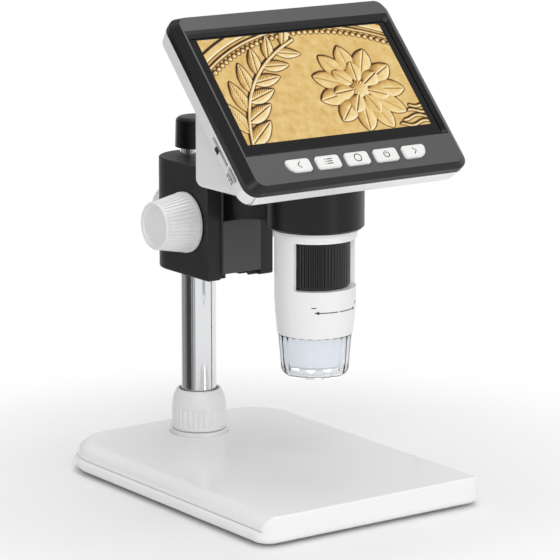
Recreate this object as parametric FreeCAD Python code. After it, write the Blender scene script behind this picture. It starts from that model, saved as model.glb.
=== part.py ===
import FreeCAD, Part

import math
import os

# Digital microscope with its own tilted display, on a pillar stand.
# Millimetres. Origin: middle of the base on the table. +X right, +Y to the pillar, +Z up.

# Base
base_half_width = 59.0
base_half_depth = 82.5
base_back_corner = 26.0
base_front_corner = 8.5
base_foot_gap = 1.5
base_parting = 7.0
base_top = 13.7
base_lobe_step = 1.5
base_roll = 5.4
base_under_round = 3.4
base_seam_round = 1.6
base_front_edge = 0.8
base_wall = 2.2
foot_radius = 6.0
foot_x = 44.0
foot_y = 66.0
base_screw_x = 49.0
base_screw_y = 40.0
ballast_half_width = 38.0
ballast_front = -60.0
ballast_back = 28.0
ballast_thickness = 3.0

# Pillar, its foot and its collar
pillar_y = 51.7
pillar_radius = 8.0
pillar_wall = 1.5
pillar_top = 157.0
flange_radius = 20.0
flange_thickness = 3.4
hub_radius = 13.0
hub_top = 15.5
neck_radius = 9.6
neck_top = 24.0
collar_radius = 12.2
collar_rim_radius = 9.8
collar_height = 18.2
collar_cone_height = 7.0
collar_bore_gap = 1.0
collar_ribs = 30
cap_radius = 10.1
cap_bottom = 145.0
cap_crown = 1.5

# Bracket on the pillar
bracket_half_width = 17.4
bracket_front = 18.4
bracket_bottom = 90.6
bracket_height = 50.2
shaft_y = 35.0
shaft_z = 115.0
shaft_radius = 3.0
bush_wall = 1.5
bush_length = 5.0

# Rack and pinion
gear_module = 0.8
pinion_teeth = 15
pinion_half_width = 4.5
rack_teeth = 15
tooth_backlash = 0.5
gear_cut_gap = 0.2

# Carriage, arm and ring
carriage_half_width = 10.0
carriage_proud = 1.3
carriage_slot_depth = 2.9
carriage_bottom = 93.4
carriage_height = 44.0
side_groove = 0.7
dovetail_half_width = 6.0
dovetail_flare = 2.0
dovetail_depth = 4.0
tube_y = -37.3
arm_top = 139.6
arm_root_bottom = 117.0
ring_bottom = 122.5
ring_top = 141.2
ring_radius = 21.0
liner_wall = 0.7

# Knobs
knob_base_radius = 13.5
knob_tip_radius = 10.7
knob_length = 17.0
knob_flutes = 44
lock_knob_radius = 10.2
lock_knob_length = 5.6
lock_knob_ribs = 32
lock_screw_radius = 2.5
shoe_radius = 3.0
shoe_length = 3.4
shoe_hollow = 1.2

# Microscope tube
tube_lip_radius = 17.9
tube_radius = 17.45
tube_radius_low = 16.2
tube_low = 76.8
tube_taper_top = 92.0
tube_shoulder = 120.0
tube_spigot_radius = 18.1
tube_wall = 2.2
tube_lip = 1.2
window_low = 97.3
window_high = 118.0
window_half_angle = 67.5
wheel_radius = 15.0
wheel_ribs = 60
barrel_radius = 9.95
barrel_wall = 2.35
barrel_low = 88.0
barrel_length = 24.0
lens_thickness = 3.4
lens_bulge = 0.7
deck_thickness = 1.4
sensor_half_width = 4.5

# Nose with its lights
nose_low = 58.3
nose_radius_top = 15.9
nose_radius_low = 14.7
nose_foot_radius = 12.5
nose_foot_height = 3.2
nose_ribs = 36
nose_mouth = 11.0
carrier_radius = 13.8
carrier_wall = 2.2
light_height = 5.6
led_count = 8
led_radius = 1.5
led_circle = 9.3
led_height = 1.7

# Display unit, measured square to the screen from the middle of the picture
screen_tilt = 46.3
screen_y = -36.9
screen_z = 184.1
unit_half_width = 57.0
unit_low = -50.0
unit_high = 39.6
unit_corner = 6.0
seam_level = -4.1
bezel_shoulder = -1.2
bezel_face = 1.8
bezel_side_slope = 3.6
bezel_end_slope = 1.7
picture_half_width = 47.52
picture_half_height = 26.93
window_half_width = 52.4
window_low_v = -33.4
window_high_v = 29.2
window_slope = 1.4
rim_depth = 7.7
rim_draft = 1.0
shell_wall = 2.0
wedge_half_width = 53.0
wedge_back = -16.0
wedge_bottom = 141.5
wedge_round = 4.0
glass_thickness = 1.2
panel_half_width = 52.75
panel_low = -36.3
panel_high = 30.9
panel_thickness = 3.0

# Keys and ports
button_count = 5
button_pitch = 15.0
button_v = -41.0
button_half_width = 6.1
button_half_height = 3.25
button_proud = 1.0
button_travel = 0.8
button_flange = 0.7
key_post_radius = 2.4
card_slot_v = -24.1
card_slot_half_length = 7.5
card_slot_half_width = 1.2
port_v = -36.2
port_half_length = 3.8
port_half_width = 1.5

# Boards inside the display unit
board_thickness = 1.6
board_half_width = 53.0
board_low = -46.0
board_high = 24.0
battery_thickness = 8.0
battery_low = -36.0
battery_high = 4.0
battery_left = 9.0
battery_right = 45.0

# Clearances
seat_gap = 0.3
running_gap = 0.05
press_gap = 0.02

# Fasteners
screw_radius = 1.25
screw_head_radius = 2.6
screw_head_height = 1.4

# Sizes worked out from the ones above
neck_gap = seat_gap
bracket_top = bracket_bottom + bracket_height
collar_bottom = hub_top + seat_gap
pinion_radius = gear_module * pinion_teeth / 2.0
rack_line = shaft_y - pinion_radius
carriage_front = bracket_front - carriage_proud
slot_floor = bracket_front + carriage_slot_depth
dovetail_floor = slot_floor + dovetail_depth
ring_bore = tube_spigot_radius + 2 * running_gap + liner_wall
rim_back = seam_level - rim_depth
board_back = rim_back + shell_wall
board_front = board_back + board_thickness
button_wall_back = bezel_face - shell_wall
light_level = nose_low + light_height

V = FreeCAD.Vector
UP = V(0, 0, 1)


def save(node, shape):
    """Write one piece under its node name."""
    shape.exportStep("parts/%s.step" % node)


def in_plan(a, b, level):
    return V(a, b, level)


def in_section(a, b, level):
    return V(a, level, b)


def in_side(a, b, level):
    return V(level, a, b)


def outline(start, steps, place=in_section, level=0.0):
    """Closed wire. A step is an end point, or the middle point and the end point of an arc."""
    edges = []
    here = start
    for step in list(steps) + [start]:
        end = step[-2:]
        begin_point = place(here[0], here[1], level)
        end_point = place(end[0], end[1], level)
        if len(step) == 4:
            edges.append(Part.Arc(begin_point, place(step[0], step[1], level), end_point).toShape())
        elif here != end:
            edges.append(Part.makeLine(begin_point, end_point))
        here = end
    return Part.Wire(edges)


def turned(start, steps, centre_y=0.0):
    """Solid of revolution about the vertical line at centre_y, from radius and height steps."""
    face = Part.Face(outline(start, steps))
    solid = face.revolve(V(0, 0, 0), UP, 360)
    return solid.translated(V(0, centre_y, 0))


def disc(radius, low, high, x=0.0, y=0.0):
    return Part.makeCylinder(radius, high - low, V(x, y, low))


def pipe(outer, inner, low, high, x=0.0, y=0.0):
    return disc(outer, low, high, x, y).cut(disc(inner, low, high, x, y))


def box(low, high):
    """Solid between two opposite corners."""
    size = V(*high) - V(*low)
    return Part.makeBox(size.x, size.y, size.z, V(*low))


def rounded_outline(half_x, low_y, high_y, radius, level, middle_x=0.0):
    """Closed wire of a rectangle with round corners, flat at one level."""
    left = middle_x - half_x + radius
    right = middle_x + half_x - radius
    corners = ((right, low_y + radius, -90), (right, high_y - radius, 0),
               (left, high_y - radius, 90), (left, low_y + radius, 180))
    arcs = []
    for x, y, angle in corners:
        points = []
        for turn in (0, 45, 90):
            direction = math.radians(angle + turn)
            points.append(V(x + radius * math.cos(direction), y + radius * math.sin(direction), level))
        arcs.append(points)
    edges = []
    for index, points in enumerate(arcs):
        edges.append(Part.Arc(*points).toShape())
        following = arcs[(index + 1) % len(arcs)][0]
        if points[-1].distanceToPoint(following) > 1e-6:
            edges.append(Part.makeLine(points[-1], following))
    return Part.Wire(edges)


def slab(half_x, low_y, high_y, radius, low, high, middle_x=0.0):
    """Flat plate with round corners."""
    face = Part.Face(rounded_outline(half_x, low_y, high_y, radius, low, middle_x))
    return face.extrude(V(0, 0, high - low))


def ribbed_outline(crest, depth, count, level):
    """Closed wire of equal upright ribs round the vertical axis, four corners to a rib."""
    points = []
    for index in range(count):
        for share, radius in ((-0.3, crest), (0.0, crest), (0.2, crest - depth), (0.5, crest - depth)):
            angle = 2 * math.pi * (index + share) / count
            points.append(V(radius * math.cos(angle), radius * math.sin(angle), level))
    return Part.makePolygon(points + points[:1])


def ribbed_drum(crest_low, crest_high, depth, count, low, high):
    """Ribbed drum or cone with straight ribs between two levels."""
    wires = [ribbed_outline(crest_low, depth, count, low), ribbed_outline(crest_high, depth, count, high)]
    return Part.makeLoft(wires, True, True)


def level_edges(shape, level):
    """Edges that lie flat at one height."""
    return [edge for edge in shape.Edges
            if abs(edge.BoundBox.ZMin - level) < 0.01 and abs(edge.BoundBox.ZMax - level) < 0.01]


def together(shapes):
    """Several separate solids kept as one node."""
    return Part.makeCompound(list(shapes))


def fused(first, *others):
    return first.multiFuse(list(others)).removeSplitter()


def along_x(shape, start, direction):
    """Lay a piece that was made upright on the knob shaft's axis, pointing left or right."""
    turned_shape = shape.copy()
    turned_shape.rotate(V(0, 0, 0), V(0, 1, 0), 90 * direction)
    return turned_shape.translated(V(start * direction, shaft_y, shaft_z))


def along_y(shape, start, x=0.0, z=shaft_z):
    """Lay a piece that was made upright so that it points to the back."""
    turned_shape = shape.copy()
    turned_shape.rotate(V(0, 0, 0), V(1, 0, 0), -90)
    return turned_shape.translated(V(x, start, z))


def on_screen(shape):
    """Tilt a piece that was made flat into the plane of the screen."""
    tilted = shape.copy()
    tilted.rotate(V(0, 0, 0), V(1, 0, 0), screen_tilt)
    return tilted.translated(V(0, screen_y, screen_z))


def screen_point(v, n):
    """Side view place of a point v up the screen and n out of it."""
    tilt = math.radians(screen_tilt)
    return (screen_y + v * math.cos(tilt) - n * math.sin(tilt),
            screen_z + v * math.sin(tilt) + n * math.cos(tilt))


def screen_v(n, y=None, z=None):
    """How far up the screen the level n meets a given upright plane y or flat plane z."""
    tilt = math.radians(screen_tilt)
    if y is not None:
        return (y - screen_y + n * math.sin(tilt)) / math.cos(tilt)
    return (z - screen_z - n * math.cos(tilt)) / math.sin(tilt)


def four_places(x, y):
    return [(x * side, y * end) for side in (-1, 1) for end in (-1, 1)]


def screw_up(low, length, x, y, head_radius=screw_head_radius):
    """Screw with its flat head at the bottom and its shank pointing up."""
    head = disc(head_radius, low, low + screw_head_height, x, y)
    shank = disc(screw_radius, low + screw_head_height, low + length, x, y)
    return fused(head, shank)


def base_layer(inset, front, front_corner, low, high):
    """Flat layer with the base's plan: broad round corners behind, tighter ones in front."""
    half = base_half_width - inset
    back = base_half_depth - inset
    wide = base_back_corner - inset
    tight = front_corner
    bend = 1 - math.sqrt(0.5)
    plan = outline((tight - half, front),
                   [(half - tight, front), (half - bend * tight, front + bend * tight, half, front + tight),
                    (half, back - wide), (half - bend * wide, back - bend * wide, half - wide, back),
                    (wide - half, back), (bend * wide - half, back - bend * wide, -half, back - wide),
                    (-half, front + tight),
                    (bend * tight - half, front + bend * tight, tight - half, front)], in_plan, low)
    return Part.Face(plan).extrude(V(0, 0, high - low))


def base_lobe(inset, low, high, low_round, high_round):
    """Soft rounded layer of the base; it runs out past the front, where the front face ends it."""
    run_out = base_half_depth + 3 * base_roll
    body = base_layer(inset, -run_out, base_front_corner, low, high)
    if low_round:
        body = body.makeFillet(low_round, level_edges(body, low))
    if high_round:
        body = body.makeFillet(high_round, level_edges(body, high))
    return body


def base_front(inset, low, high, low_round, high_round):
    """Plain layer that ends at the base's flat front face."""
    body = base_layer(inset, inset - base_half_depth, base_front_corner - inset, low, high)
    if low_round:
        body = body.makeFillet(low_round, level_edges(body, low))
    if high_round:
        body = body.makeFillet(high_round, level_edges(body, high))
    return body


flange_screw_places = []
for turn in (30, 150, 270):
    angle = math.radians(turn)
    reach = (flange_radius + hub_radius) / 2.0
    flange_screw_places.append((reach * math.cos(angle), pillar_y + reach * math.sin(angle)))


def base_top_shell():
    """Upper shell with its broad roll, screw columns and the hole for the pillar's hub."""
    outer = base_lobe(base_lobe_step, base_parting, base_top, 0.8, base_roll)
    outer = outer.common(base_front(0, base_parting, base_top, 0, base_front_edge))
    inner = base_lobe(base_lobe_step + base_wall, base_parting, base_top - base_wall,
                      0, base_roll - base_wall)
    inner = inner.common(base_front(base_wall, base_parting, base_top - base_wall, 0, 0))
    shell = outer.cut(inner)
    columns = []
    holes = [disc(hub_radius + 0.2, base_parting, base_top + 1, 0, pillar_y)]
    for x, y in four_places(base_screw_x, base_screw_y):
        columns.append(disc(screw_radius + 2.3, base_foot_gap + base_wall, base_top - base_wall + 0.5, x, y))
        holes.append(disc(screw_radius, 0, base_top - base_wall, x, y))
    return fused(shell, *columns).cut(together(holes)).Solids[0]


def base_bottom_tray():
    """Lower tray, which stands a little proud of the upper shell all round."""
    tray = base_lobe(0, base_foot_gap, base_parting, 0, base_seam_round)
    tray = tray.common(base_front(0, base_foot_gap, base_parting, base_under_round, 0))
    floor = base_foot_gap + base_wall
    hollow = base_front(base_wall + 0.4, floor, base_parting, 0, 0)
    holes = []
    for x, y in four_places(foot_x, foot_y):
        holes.append(disc(foot_radius + 0.1, 0, base_foot_gap + 0.8, x, y))
    for x, y in four_places(base_screw_x, base_screw_y) + flange_screw_places:
        holes.append(disc(screw_radius + 0.2, 0, floor, x, y))
        holes.append(disc(screw_head_radius + 0.2, 0, base_foot_gap + screw_head_height, x, y))
    return tray.cut(together([hollow] + holes)).Solids[0]


def rubber_feet():
    feet = []
    for x, y in four_places(foot_x, foot_y):
        feet.append(turned((0, 0), [(foot_radius - 0.6, 0), (foot_radius, 0.6),
                                    (foot_radius, base_foot_gap + 0.8), (0, base_foot_gap + 0.8)])
                    .translated(V(x, y, 0)))
    return together(feet)


def ballast_plate():
    floor = base_foot_gap + base_wall
    return slab(ballast_half_width, ballast_front, ballast_back, 4, floor, floor + ballast_thickness)


def base_screws():
    return together(screw_up(base_foot_gap, 8.2, x, y) for x, y in four_places(base_screw_x, base_screw_y))


def flange_screws():
    return together(screw_up(base_foot_gap, 5.2, x, y) for x, y in flange_screw_places)


def pillar_flange():
    """Foot of the pillar: a screwed down flange, the hub in the shell's hole and the neck."""
    floor = base_foot_gap + base_wall
    bore = pillar_radius + running_gap
    socket_floor = floor + base_wall
    body = turned((0, floor), [(flange_radius, floor), (flange_radius, floor + flange_thickness),
                               (hub_radius, floor + flange_thickness), (hub_radius, hub_top),
                               (neck_radius, hub_top), (neck_radius, neck_top), (bore, neck_top),
                               (bore, socket_floor), (0, socket_floor)], pillar_y)
    holes = [disc(screw_radius, 0, floor + flange_thickness, x, y) for x, y in flange_screw_places]
    return body.cut(together(holes))


def collar_nut():
    """Ribbed nut with a smooth foot band and a conical top, round the foot of the pillar."""
    top = collar_bottom + collar_height
    cone = top - collar_cone_height
    rib_low = collar_bottom + 2.2
    rib_high = cone - 1.0
    rib_depth = 0.5
    root = collar_radius - rib_depth
    wide_bore = neck_radius + neck_gap
    shoulder = neck_top + seat_gap
    narrow_bore = pillar_radius + collar_bore_gap
    body = turned((wide_bore, collar_bottom),
                  [(collar_radius - 0.4, collar_bottom), (collar_radius, collar_bottom + 0.4),
                   (collar_radius, rib_low), (root, rib_low), (root, rib_high),
                   (collar_radius, rib_high), (collar_radius, cone),
                   (collar_rim_radius + 0.5, top - 0.8, collar_rim_radius, top),
                   (narrow_bore, top), (narrow_bore, shoulder), (wide_bore, shoulder)])
    ribs = ribbed_drum(collar_radius, collar_radius, rib_depth, collar_ribs, rib_low, rib_high)
    ribs = ribs.cut(disc(root - 0.3, rib_low, rib_high))
    return fused(body, ribs).translated(V(0, pillar_y, 0))


def pillar_tube():
    bottom = base_foot_gap + 2 * base_wall + seat_gap
    return pipe(pillar_radius, pillar_radius - pillar_wall, bottom, pillar_top, 0, pillar_y)


def pillar_cap():
    """Cap pushed over the top of the pillar, a little wider at its mouth."""
    crown = pillar_top + cap_crown
    bore = pillar_radius + press_gap
    return turned((bore, cap_bottom),
                  [(cap_radius, cap_bottom), (cap_radius - 0.3, crown - 2.4),
                   (cap_radius - 1.0, crown - 0.7, cap_radius - 2.7, crown),
                   (0, crown), (0, pillar_top), (bore, pillar_top)], pillar_y)


def bracket_body():
    """Block that slides on the pillar: half round behind, flat in front, slotted for the carriage."""
    half = bracket_half_width
    plan = outline((-half, bracket_front), [(half, bracket_front), (half, pillar_y),
                                            (0, pillar_y + half, -half, pillar_y)], in_plan, bracket_bottom)
    block = Part.Face(plan).extrude(V(0, 0, bracket_height))
    block = block.makeFillet(0.9, level_edges(block, bracket_bottom) + level_edges(block, bracket_top))
    above = bracket_top + 1
    below = bracket_bottom - 1
    height = above - below
    slot_half = carriage_half_width + side_groove
    neck = dovetail_half_width
    flare = neck + dovetail_flare
    dovetail = outline((-neck, slot_floor - 0.01), [(neck, slot_floor - 0.01), (flare, dovetail_floor),
                                                    (-flare, dovetail_floor)], in_plan, below)
    rack_half = pinion_half_width - 0.5
    chamber_radius = pinion_radius + gear_module + 2 * seat_gap
    cuts = [
        disc(pillar_radius + running_gap, below, above, 0, pillar_y),
        box((-slot_half, bracket_front - 1, below), (slot_half, slot_floor, above)),
        Part.Face(dovetail).extrude(V(0, 0, height)),
        box((-rack_half, dovetail_floor - 0.01, below), (rack_half, rack_line + gear_module + seat_gap, above)),
        along_x(disc(chamber_radius, -pinion_half_width - seat_gap, pinion_half_width + seat_gap), 0, 1),
        along_x(disc(shaft_radius + seat_gap, -half - 1, half + 1), 0, 1),
        along_y(disc(shoe_radius + press_gap, -shoe_hollow, shoe_length), pillar_y + pillar_radius),
        along_y(disc(lock_screw_radius + running_gap, 0, half), pillar_y + pillar_radius),
    ]
    for side in (-1, 1):
        cuts.append(along_x(disc(shaft_radius + bush_wall + press_gap, half - bush_length, half + 1), 0, side))
    return block.cut(together(cuts)).Solids[0]


def shaft_bushes():
    """Two plain bushes that carry the knob shaft in the sides of the block."""
    half = bracket_half_width
    bush = pipe(shaft_radius + bush_wall, shaft_radius + running_gap, half - bush_length, half)
    return together(along_x(bush, 0, side) for side in (-1, 1))


def clamp_shoe():
    """Brass pad that the lock screw presses on the pillar, hollowed to the pillar's curve."""
    pad = along_y(disc(shoe_radius, -shoe_hollow, shoe_length - seat_gap), pillar_y + pillar_radius)
    return pad.cut(disc(pillar_radius + running_gap, bracket_bottom, bracket_top, 0, pillar_y))


def lock_screw():
    start = pillar_y + pillar_radius + shoe_length
    end = pillar_y + bracket_half_width + lock_knob_length - 1.0
    return along_y(disc(lock_screw_radius, 0, end - start), start)


def knob_form(base_radius, tip_radius, length, ribs, bore, bore_depth, flange):
    """Fluted knob made upright: smooth flange, straight flutes and a rimmed face with a shallow dish."""
    rib_depth = 0.55
    lip = 1.5
    dish = 0.7
    low_root = base_radius - rib_depth
    high_root = tip_radius - rib_depth
    body = turned((0, 0), [(base_radius - 0.3, 0), (base_radius, 0.3), (base_radius, flange),
                           (low_root, flange), (high_root, length - lip), (tip_radius, length - lip),
                           (tip_radius, length - 0.5), (tip_radius - 0.5, length),
                           (tip_radius - 1.8, length), (tip_radius - 2.2, length - dish),
                           (0, length - dish)])
    flutes = ribbed_drum(base_radius - 0.1, tip_radius, rib_depth, ribs, flange, length - lip)
    core = turned((0, flange), [(low_root - 0.4, flange), (high_root - 0.4, length - lip), (0, length - lip)])
    return fused(body, flutes.cut(core)).cut(disc(bore + press_gap, -1, bore_depth))


def focus_knob(side):
    knob = knob_form(knob_base_radius, knob_tip_radius, knob_length, knob_flutes,
                     shaft_radius, knob_length - 3.0, 1.6)
    return along_x(knob, bracket_half_width + seat_gap + running_gap, side)


def lock_knob():
    start = pillar_y + bracket_half_width + seat_gap
    knob = knob_form(lock_knob_radius, lock_knob_radius - 0.4, lock_knob_length, lock_knob_ribs,
                     lock_screw_radius, lock_knob_length - 1.3, 0.8)
    return along_y(knob, start)


def pinion_shaft():
    reach = bracket_half_width + seat_gap + running_gap + knob_length - 3.0
    return along_x(disc(shaft_radius, -reach, reach), 0, 1)


def pinion_gear():
    """Spur pinion with straight flanked teeth; one tooth points at the rack."""
    pitch = math.pi * gear_module
    half = (pitch - tooth_backlash) / 4.0
    levels = ((pinion_radius - gear_module - gear_cut_gap / 2, half + 0.33),
              (pinion_radius, half),
              (pinion_radius + 0.9 * gear_module, half - 0.24))
    points = []
    for index in range(pinion_teeth):
        middle = math.pi + 2 * math.pi * index / pinion_teeth
        left = [(radius, middle - width / radius) for radius, width in levels]
        right = [(radius, middle + width / radius) for radius, width in reversed(levels)]
        for radius, angle in left + right:
            points.append(V(0, radius * math.cos(angle), radius * math.sin(angle)))
    face = Part.Face(Part.makePolygon(points + points[:1]))
    gear = face.extrude(V(2 * pinion_half_width, 0, 0))
    gear = gear.translated(V(-pinion_half_width, shaft_y, shaft_z))
    return gear.cut(along_x(disc(shaft_radius + press_gap, -pinion_half_width, pinion_half_width), 0, 1))


def gear_rack():
    """Straight rack behind the carriage, with a gap in front of the pinion's tooth."""
    pitch = math.pi * gear_module
    half = (pitch - tooth_backlash) / 4.0
    root = rack_line - gear_module - gear_cut_gap / 2
    tip = rack_line + 0.9 * gear_module
    low = shaft_z - rack_teeth * pitch / 2.0
    back = dovetail_floor - seat_gap
    steps = [(root, low)]
    for index in range(rack_teeth + 1):
        middle = low + pitch * (index + 0.0)
        if index in (0, rack_teeth):
            continue
        steps += [(root, middle - half - 0.33), (tip, middle - half + 0.24),
                  (tip, middle + half - 0.24), (root, middle + half + 0.33)]
    steps += [(root, low + rack_teeth * pitch), (back, low + rack_teeth * pitch)]
    rack_half = pinion_half_width - 0.5 - seat_gap
    bar = Part.Face(outline((back, low), steps, in_side, -rack_half))
    return bar.extrude(V(2 * rack_half, 0, 0))


arm_screw_x = carriage_half_width - 2.1
arm_screw_places = [(arm_screw_x * side, height) for side in (-1, 1)
                    for height in (arm_root_bottom + 4.5, arm_top - 6.0)]
arm_screw_head = 1.8
arm_screw_length = 11.0


def carriage_plate():
    """Plate that fills the slot in the block, with a dovetail tongue behind."""
    back = slot_floor - seat_gap
    top = carriage_bottom + carriage_height
    plate = box((-carriage_half_width, carriage_front, carriage_bottom), (carriage_half_width, back, top))
    slope = dovetail_flare / dovetail_depth
    narrow = dovetail_half_width - seat_gap - seat_gap * slope
    tongue_back = dovetail_floor - seat_gap
    wide = narrow + (tongue_back - back) * slope
    tongue = outline((-narrow, back), [(narrow, back), (wide, tongue_back), (-wide, tongue_back)],
                     in_plan, carriage_bottom)
    body = fused(plate, Part.Face(tongue).extrude(V(0, 0, carriage_height)))
    holes = []
    for x, z in arm_screw_places:
        holes.append(along_y(disc(screw_radius + press_gap, 0, back - carriage_front), carriage_front, x, z))
        holes.append(along_y(disc(arm_screw_head + press_gap, 0, screw_head_height),
                             back - screw_head_height, x, z))
    return body.cut(together(holes))


def arm_screws():
    """Screws from behind the carriage into the arm."""
    back = slot_floor - seat_gap
    screws = []
    for x, z in arm_screw_places:
        head = along_y(disc(arm_screw_head, 0, screw_head_height), back - screw_head_height, x, z)
        shank = along_y(disc(screw_radius, 0, arm_screw_length - screw_head_height),
                        back - arm_screw_length, x, z)
        screws.append(fused(head, shank))
    return together(screws)


def holder_arm():
    """Arm with an arched underside that ends in the ring round the tube."""
    half = carriage_half_width
    ring_back = tube_y + ring_radius
    middle = (carriage_front + ring_back) / 2.0
    side = outline((carriage_front, arm_root_bottom),
                   [(carriage_front, arm_top), (tube_y, arm_top), (tube_y, ring_bottom),
                    (ring_back, ring_bottom),
                    (middle, (arm_root_bottom + ring_bottom) / 2.0 + 1.2, carriage_front, arm_root_bottom)],
                   in_side, -half)
    arm = Part.Face(side).extrude(V(2 * half, 0, 0))
    ring = turned((0, ring_bottom), [(ring_radius - 0.9, ring_bottom), (ring_radius, ring_bottom + 0.9),
                                     (ring_radius, ring_top - 0.3), (ring_radius - 0.3, ring_top),
                                     (0, ring_top)], tube_y)
    back = slot_floor - seat_gap
    holes = [disc(ring_bore, ring_bottom - 1, ring_top + 1, 0, tube_y)]
    for x, z in arm_screw_places:
        holes.append(along_y(disc(screw_radius + press_gap, 0, arm_screw_length), back - arm_screw_length, x, z))
    return fused(arm, ring).cut(together(holes))


def ring_liner():
    """Thin lining of the ring, in which the tube slides."""
    outer = ring_bore - press_gap
    return pipe(outer, tube_spigot_radius + 2 * running_gap, ring_bottom + 1.0, ring_top, 0, tube_y)


deck_bore = barrel_radius + 0.85
window_deck_low = window_low - deck_thickness
window_deck_top = window_high + deck_thickness
wheel_room = wheel_radius + 0.4
spigot_bore = tube_spigot_radius - tube_wall
tube_screw_radius = (spigot_bore + deck_bore) / 2.0 + 0.6


def neck_screw_places():
    places = []
    for turn in (90, 210, 330):
        angle = math.radians(turn)
        places.append((tube_screw_radius * math.cos(angle), tube_y + tube_screw_radius * math.sin(angle)))
    return places


def tube_shell():
    """Tapered tube with the thumb window in front, two inner decks and the plain spigot above."""
    taper_middle = (tube_low + tube_taper_top) / 2.0
    taper_middle_radius = (tube_radius_low + tube_radius) / 2.0 + 0.15
    outer = turned((0, tube_low),
                   [(tube_radius_low, tube_low),
                    (taper_middle_radius, taper_middle, tube_radius, tube_taper_top),
                    (tube_radius, tube_shoulder - tube_lip), (tube_lip_radius, tube_shoulder - tube_lip + 0.3),
                    (tube_lip_radius, tube_shoulder), (tube_spigot_radius, tube_shoulder + 0.5),
                    (tube_spigot_radius, wedge_bottom), (0, wedge_bottom)])
    low_bore = carrier_radius + 0.1
    hollow = turned((0, tube_low),
                    [(low_bore, tube_low), (low_bore, tube_low + 6), (low_bore + 1, window_deck_low),
                     (deck_bore, window_deck_low), (deck_bore, window_low), (wheel_room, window_low),
                     (wheel_room, window_high), (deck_bore, window_high), (deck_bore, window_deck_top),
                     (spigot_bore, window_deck_top), (spigot_bore, wedge_bottom - 2),
                     (deck_bore, wedge_bottom - 2), (deck_bore, wedge_bottom), (0, wedge_bottom)])
    sweep = Part.Face(outline((wheel_room - 2, window_low),
                              [(tube_radius + 2, window_low), (tube_radius + 2, window_high),
                               (wheel_room - 2, window_high)]))
    window = sweep.revolve(V(0, 0, 0), UP, 2 * window_half_angle)
    window.rotate(V(0, 0, 0), UP, -90 - window_half_angle)
    body = outer.cut(hollow).cut(window).translated(V(0, tube_y, 0))
    holes = [disc(screw_radius, wedge_bottom - 2, wedge_bottom, x, y) for x, y in neck_screw_places()]
    return body.cut(together(holes)).Solids[0]


def tube_screws():
    """Short screws that join the tube to the floor of the display unit, from inside."""
    screws = []
    floor = wedge_bottom + shell_wall
    for x, y in neck_screw_places():
        head = disc(screw_head_radius - 0.6, floor, floor + screw_head_height, x, y)
        shank = disc(screw_radius, wedge_bottom - 2, floor, x, y)
        screws.append(fused(head, shank))
    return together(screws)


def focus_wheel():
    """Knurled wheel in the tube's window; its bore carries the lens barrel."""
    low = window_low + seat_gap
    high = window_high - seat_gap
    rib_depth = 0.45
    root = wheel_radius - rib_depth
    band = 0.9
    bore = barrel_radius + running_gap
    body = turned((bore, low), [(root, low), (root, high), (bore, high)])
    ribs = ribbed_drum(wheel_radius, wheel_radius, rib_depth, wheel_ribs, low + band, high - band)
    ribs = ribs.cut(disc(root - 0.3, low, high))
    return fused(body, ribs).translated(V(0, tube_y, 0))


def lens_barrel():
    """Barrel with the lens seat at its lower end."""
    inner = barrel_radius - barrel_wall
    seat = barrel_radius - 1.4
    top = barrel_low + barrel_length
    seat_top = barrel_low + 1.0 + lens_thickness
    return turned((seat, barrel_low), [(barrel_radius, barrel_low), (barrel_radius, top), (inner, top),
                                       (inner, seat_top), (seat, seat_top)], tube_y)


def objective_lens():
    """Glass lens with two bulging faces, each part of a large sphere."""
    radius = barrel_radius - 1.4 - press_gap
    low = barrel_low + 1.0
    top = low + lens_thickness
    curve = (radius ** 2 + lens_bulge ** 2) / (2 * lens_bulge)
    lens = disc(radius, low, top)
    lens = lens.common(Part.makeSphere(curve, V(0, 0, low + curve)))
    lens = lens.common(Part.makeSphere(curve, V(0, 0, top - curve)))
    return lens.translated(V(0, tube_y, 0))


def lens_retainer():
    radius = barrel_radius - 1.4 - press_gap
    return pipe(radius, radius - 1.5, barrel_low, barrel_low + 1.0, 0, tube_y)


def sensor_board():
    low = window_deck_top
    return disc(spigot_bore - 0.4, low, low + board_thickness, 0, tube_y)


def image_sensor():
    half = sensor_half_width
    return box((-half, tube_y - half, window_deck_top - 1.1), (half, tube_y + half, window_deck_top))


def sensor_cable():
    """Flat cable from the sensor board up to the back of the main board."""
    low = window_deck_top + board_thickness
    thickness = 0.3
    high = screen_point(screen_v(board_back, y=tube_y), board_back)[1]
    return box((-4.0, tube_y, low), (4.0, tube_y + thickness, high - 0.05))


def led_carrier():
    """Sleeve under the tube that carries the light ring."""
    low = light_level
    return pipe(carrier_radius, carrier_radius - carrier_wall, low, tube_low + 5.0, 0, tube_y)


def led_board():
    top = light_level
    return pipe(carrier_radius - carrier_wall + seat_gap, 6.5, top - board_thickness, top, 0, tube_y)


def leds():
    """Ring of lamps under the light board."""
    high = light_level - board_thickness
    low = high - led_height
    lamps = []
    for index in range(led_count):
        angle = 2 * math.pi * index / led_count
        lamp = turned((0, low), [(led_radius - 0.5, low), (led_radius, low + 0.5), (led_radius, high), (0, high)])
        lamps.append(lamp.translated(V(led_circle * math.cos(angle), tube_y + led_circle * math.sin(angle), 0)))
    return together(lamps)


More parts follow.
